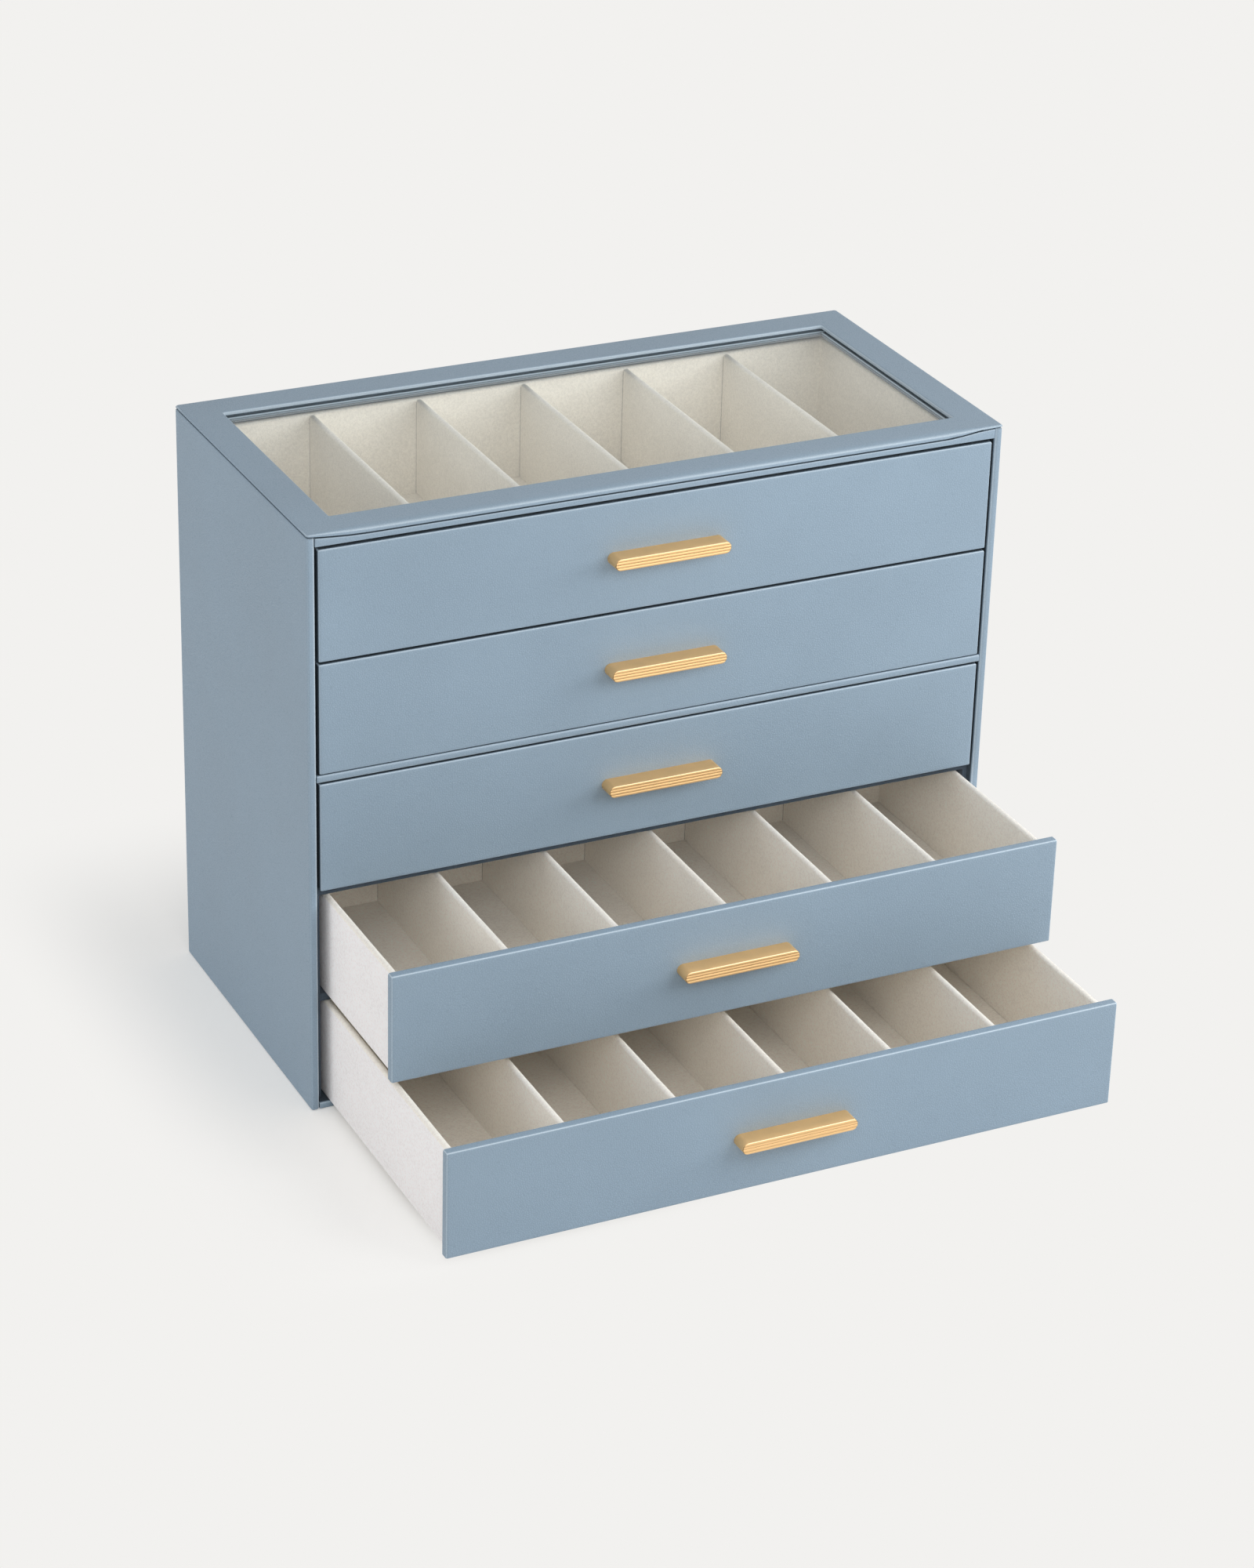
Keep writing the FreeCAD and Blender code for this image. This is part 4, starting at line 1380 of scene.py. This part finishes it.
@dataclass
class Case(Assembly):
    """The outer case: panels, shelves, rails and liners."""

    seam: SeamRise = field(default_factory=SeamRise)
    bead: float = 2.3 * MM
    outer_edge: float = 1.2 * MM
    tight_edge: float = 0.5 * MM
    shelf_edge: float = 1.7 * MM
    rail_edge: float = 1.0 * MM
    rail_under: float = 2.1 * MM
    rail_step: float = 9 * MM
    seam_shade: float = 0.92
    lid_seam_shade: float = 0.5
    rail_top_shade: float = 0.9
    panel_rub: Point = (1.2, 0.0, 0.0)
    window_shade: Point = (0.8, 0.8, 1.0)
    window_dark_edge: float = 4.0
    window_rub: Point = (0.0, 0.0, 1.0)
    open_shade: float = 0.25
    rail_front: float = 3 * MM
    half_depth: float = 105 * MM

    def build(self) -> None:
        """Builds the case's pieces."""
        bead, outer, tight, dark = self.bead, self.outer_edge, self.tight_edge, self.seam_shade
        shelf, rail, under, lid = (self.shelf_edge, self.rail_edge, self.rail_under,
                                   self.lid_seam_shade)
        # Faces that look into gaps and seams get painted shade; the left panel's painted
        # highlight leans to its right edges, towards the key lamp.
        self.board("side_panel_left", radii_low=(outer, bead, outer),
                   radii_high=(bead, outer, tight), dark_high=(dark, 0.0, lid),
                   rub=self.panel_rub, crown=self._over_panel)
        self.board("side_panel_right", radii_low=(bead, bead, outer),
                   radii_high=(outer, outer, tight), dark_low=(dark, 0.0, 0.0),
                   dark_high=(0.0, 0.0, lid), crown=self._over_panel)
        self.board("back_panel", radii_low=(tight,) * 3, radii_high=(tight,) * 3,
                   crown=self._over_panel)
        for node in ("floor_board", "middle_shelf"):
            self.board(node, radii_low=(tight, shelf, shelf), radii_high=(tight, tight, shelf),
                       dark_low=(dark, 0.0, dark), dark_high=(dark, 0.0, dark))
        self.board("top_rail_front", step=self.rail_step, radii_low=(tight, rail, tight),
                   radii_high=(tight, tight, rail), dark_low=(lid, 0.0, dark),
                   dark_high=(lid, 0.0, self.rail_top_shade), dark_middle=self.open_shade,
                   crown=self._over_rail)
        # The window rails get painted shade, as in the lid frame's shadow, and a painted
        # highlight on their top edges.
        for node in ("top_rail_back", "top_rail_left", "top_rail_right"):
            self.board(node, step=self.rail_step, radii_low=(under,) * 3,
                       radii_high=(under, under, rail), dark_low=self.window_shade,
                       dark_high=self.window_shade, dark_edge=self.window_dark_edge,
                       dark_middle=self.open_shade, rub=self.window_rub)
        self.keep(Surface.LINING, "shelf_under_drawer_1", "shelf_under_drawer_3",
                  "shelf_under_drawer_4", "side_liners_left", "side_liners_right")
        self.keep(Surface.HINGE, "hinge_leaf_case_left", "hinge_leaf_case_right",
                  "hinge_pin_left", "hinge_pin_right")
        self.keep(Surface.SCREW, "hinge_screws_case")

    def _over_panel(self, place: Vector) -> float:
        """Reads how far the top of a panel stands up at a place."""
        return self.seam.at(place.x)

    def _over_rail(self, place: Vector) -> float:
        """Reads how far the front rail's top stands up: along its front only."""
        near = place.y < -self.half_depth + self.rail_front
        return self.seam.at(place.x) if near else 0.0


@dataclass
class Lid(Assembly):
    """The glazed lid."""

    body = "lid"

    seam: SeamRise = field(default_factory=SeamRise)
    sharp_angle: float = 60.0

    def build(self) -> None:
        """Builds the lid's frame and dresses its glass and hinges."""
        ring = LidRing(*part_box("lid_frame"), self.seam).shell()
        self.settle(ring.to_object("lid_frame_wrapped", self.sharp_angle), Surface.LEATHER,
                    "lid_frame")
        self.keep(Surface.GLASS, "lid_glass")
        self.keep(Surface.HINGE, "hinge_leaf_lid_left", "hinge_leaf_lid_right")
        self.keep(Surface.SCREW, "hinge_screws_lid")


@dataclass
class Drawer(Assembly):
    """One drawer: wrapped front, suede box with dividers, reeded handle."""

    number: int
    rows: RowTree
    reeds: ReedTree
    compartments: int = 6
    front_top_edge: float = 1.4 * MM
    front_side_edge: float = 1.3 * MM
    front_bottom_edge: float = 0.7 * MM
    front_rub: Point = (0.3, 0.0, 0.6)
    wall: float = 4 * MM
    top_radius: float = 1.8 * MM
    foot_radius: float = 0.3 * MM
    base_step: float = 20 * MM
    seam_shade: float = 0.92
    joint_value: float = 2.0
    reed_count: float = 4.0
    reed_depth: float = 0.35 * MM
    # Where the reeds turn from painted highlight to painted shade.
    patina: float = 0.80

    def __post_init__(self) -> None:
        """Names the drawer's CAD body."""
        self.body = f"drawer_{self.number}"

    def name(self, part: str) -> str:
        """Names one of this drawer's CAD nodes."""
        return f"drawer_{self.number}_{part}"

    def build(self) -> None:
        """Builds the drawer's pieces."""
        side, bottom, top = self.front_side_edge, self.front_bottom_edge, self.front_top_edge
        # The front gets painted shade where it faces gaps: the bottom always, the sides and top
        # on drawers that stand shut at rest. Its painted highlight leans to its top edges.
        dark = self.seam_shade
        shut = dark if self.number <= LAST_SHUT else 0.0
        self.board(self.name("front"), radii_low=(side, top, bottom),
                   radii_high=(side, bottom, top), dark_low=(shut, 0.0, dark),
                   dark_high=(shut, 0.0, shut), rub=self.front_rub)
        self._walls()
        self._dividers()
        foot = (self.foot_radius,) * 3
        self.board(self.name("base"), Surface.SUEDE, radii_low=foot, radii_high=foot, arc=1,
                   step=self.base_step)
        self._handle()
        self.keep(Surface.SCREW, self.name("handle_screws"))

    def _wall_profile(self, height: float) -> Profile:
        """Draws a wall's section, round along the top."""
        foot, top = self.foot_radius, self.top_radius
        return rounded_profile(self.wall, height, (foot, foot, top, top))

    def _walls(self) -> None:
        """Builds the side walls and the end walls."""
        low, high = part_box(self.name("side_walls"))
        profile = self._wall_profile(high.z - low.z)
        for part, axis, seed in (("side_walls", Axis.Y, SIDE_WALL_SEED),
                                 ("end_walls", Axis.X, END_WALL_SEED)):
            low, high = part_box(self.name(part))
            along, across = axis.value, 1 - axis.value
            walls = Shell()
            for side, place in enumerate((low[across], high[across] - self.wall)):
                walls.join(DrawnStrip(profile, axis, place, low.z, low[along], high[along],
                                      seed=self.number + seed + 0.5 * side,
                                      outside_low=1 - side, outside_high=side).shell())
            self.settle(walls.to_object(self.name(f"{part}_suede")), Surface.SUEDE,
                        self.name(part))

    def _dividers(self) -> None:
        """Builds one divider and repeats it across the drawer."""
        low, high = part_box(self.name("dividers"))
        count = self.compartments - 1
        pitch = (high.x - low.x - self.wall) / (count - 1)
        one = DrawnStrip(self._wall_profile(high.z - low.z), Axis.Y, low.x, low.z, low.y,
                         high.y, seed=self.number * DIVIDER_SEED,
                         end_shade=self.joint_value).shell()
        row = self.rows.apply(one.to_object("divider_blank"), self.name("dividers_suede"),
                              Count=count, Pitch=pitch,
                              Finish=self.wardrobe.materials[Surface.SUEDE])
        self.settle(row, Surface.SUEDE, self.name("dividers"))

    def _handle(self) -> None:
        """Builds the handle and presses its reeds."""
        blank = HandleBar(*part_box(self.name("handle"))).build("handle_blank")
        bar = self.reeds.apply(blank, self.name("handle_reeded"), Reeds=self.reed_count,
                               Reed_depth=self.reed_depth, Patina=self.patina,
                               Finish=self.wardrobe.materials[Surface.HANDLE])
        self.settle(bar, Surface.HANDLE, self.name("handle"))


# Studio


@dataclass(frozen=True)
class Lamp:
    """A soft area lamp that looks at the case."""

    name: str
    place: Point
    power: float
    size: float
    target: Point = (0.0, -0.05, 0.18)

    def build(self) -> None:
        """Adds the lamp."""
        data = bpy.data.lights.new(self.name, "AREA")
        data.energy = self.power
        data.shape = "DISK"
        data.size = self.size
        lamp = put(self.name, data)
        lamp.location = self.place
        direction = Vector(self.target) - Vector(self.place)
        lamp.rotation_euler = direction.to_track_quat("-Z", "Y").to_euler()
        lamp.visible_camera = False


@dataclass
class Studio:
    """Camera, lamps, world and floor."""

    camera_place: Point = (-0.98503, -2.06316, 1.27160)
    camera_turn: Point = (63.350, -1.463, -25.494)
    lens: float = 95.605
    sensor: float = 36.0
    background: tuple[float, ...] = (0.888, 0.880, 0.863, 1.0)
    world_level: float = 0.52
    floor_reach: float = 40.0
    floor_level: float = 0.80
    near_evenness: float = 0.12
    near_case: tuple[tuple[str, float, float, float, float], ...] = (
        ("X", -0.33, -0.235, 0.0, 1.0), ("X", -0.15, 0.0, 1.0, 0.0),
        ("Y", -0.31, -0.20, 0.0, 1.0), ("Y", 0.10, 0.30, 1.0, 0.0))
    lamps: tuple[Lamp, ...] = (
        Lamp("key", (1.2, -0.6, 0.7), 6.4, 0.6),
        Lamp("front", (0.4, -0.85, 0.72), 2.7, 0.6),
        Lamp("left", (-0.45, -1.05, 0.85), 2.5, 0.6),
        Lamp("fill", (-1.6, 0.3, 0.5), 4.0, 1.0),
    )

    def build(self) -> None:
        """Builds the studio and sets how the picture is shown."""
        self._camera()
        self._world()
        self._floor()
        for lamp in self.lamps:
            lamp.build()
        bpy.context.scene.view_settings.view_transform = "Standard"

    def _camera(self) -> None:
        """Adds the camera at the photograph's viewing angle."""
        data = bpy.data.cameras.new("camera")
        data.lens = self.lens
        data.sensor_width = self.sensor
        data.sensor_fit = "AUTO"
        camera = put("camera", data)
        camera.location = self.camera_place
        camera.rotation_euler = Euler([math.radians(a) for a in self.camera_turn], "XYZ")
        bpy.context.scene.camera = camera

    def _seen(self, graph: NodeGraph) -> Socket:
        """Masks the rays that show the background: straight, mirrored or through glass.

        Args:
            graph: The material's graph.

        Returns:
            The mask.
        """
        path = graph.add("ShaderNodeLightPath").outputs
        seen = graph.math("MAXIMUM", path["Is Camera Ray"], path["Is Glossy Ray"])
        return graph.math("MAXIMUM", seen, path["Is Transmission Ray"])

    def _world(self) -> None:
        """Sets an even world that shows as the background."""
        world = bpy.data.worlds.new("studio")
        world.use_nodes = True
        bpy.context.scene.world = world
        graph = NodeGraph(world.node_tree)
        lit = graph.add("ShaderNodeBackground", Color=(1.0, 1.0, 1.0, 1.0),
                        Strength=self.world_level)
        shown = graph.add("ShaderNodeBackground", Color=self.background, Strength=1.0)
        mixed = graph.add("ShaderNodeMixShader", in0=self._seen(graph), in1=lit.outputs[0],
                          in2=shown.outputs[0])
        graph.add("ShaderNodeOutputWorld", Surface=mixed.outputs[0])

    def _floor(self) -> None:
        """Adds a pale floor that shows as the background and keeps the case's shadow."""
        mesh = bpy.data.meshes.new("floor")
        mesh.from_pydata([(x * self.floor_reach, y * self.floor_reach, 0) for x, y in
                          ((-1, -1), (1, -1), (1, 1), (-1, 1))], [], [(0, 1, 2, 3)])
        floor = put("floor", mesh)
        material = bpy.data.materials.new("floor")
        material.use_nodes = True
        graph = NodeGraph(material.node_tree)
        matt = graph.add("ShaderNodeBsdfDiffuse", Color=self.background)
        place = graph.add("ShaderNodeTexCoord").outputs["Object"]
        along = graph.add("ShaderNodeSeparateXYZ", in0=place).outputs
        shaded = reduce(graph.times, (graph.ramp(along[axis], *ends)
                                      for axis, *ends in self.near_case))
        evenness = graph.times_plus(shaded, self.near_evenness - 1.0, 1.0)
        rest = graph.math("DIVIDE", 1.0 - self.floor_level, evenness)
        even = graph.add("ShaderNodeEmission", Color=self.background,
                         Strength=graph.math("ADD", rest, self.floor_level))
        share = graph.times(self._seen(graph), evenness)
        mixed = graph.add("ShaderNodeMixShader", in0=share, in1=matt.outputs[0],
                          in2=even.outputs[0])
        graph.add("ShaderNodeOutputMaterial", Surface=mixed.outputs[0])
        floor.data.materials.append(material)


def main() -> None:
    """Builds the organizer box round its frame, one sub-assembly after another."""
    logging.basicConfig(level=logging.INFO, format="%(name)s: %(message)s")
    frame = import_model()
    Studio().build()
    wardrobe = Wardrobe()
    nodes = frame["nodes"]
    Case(wardrobe, nodes).build()
    Lid(wardrobe, nodes).build()
    rows, reeds = RowTree(), ReedTree()
    for number in DRAWERS:
        Drawer(wardrobe, nodes, number, rows, reeds).build()


if __name__ == "__main__":
    main()
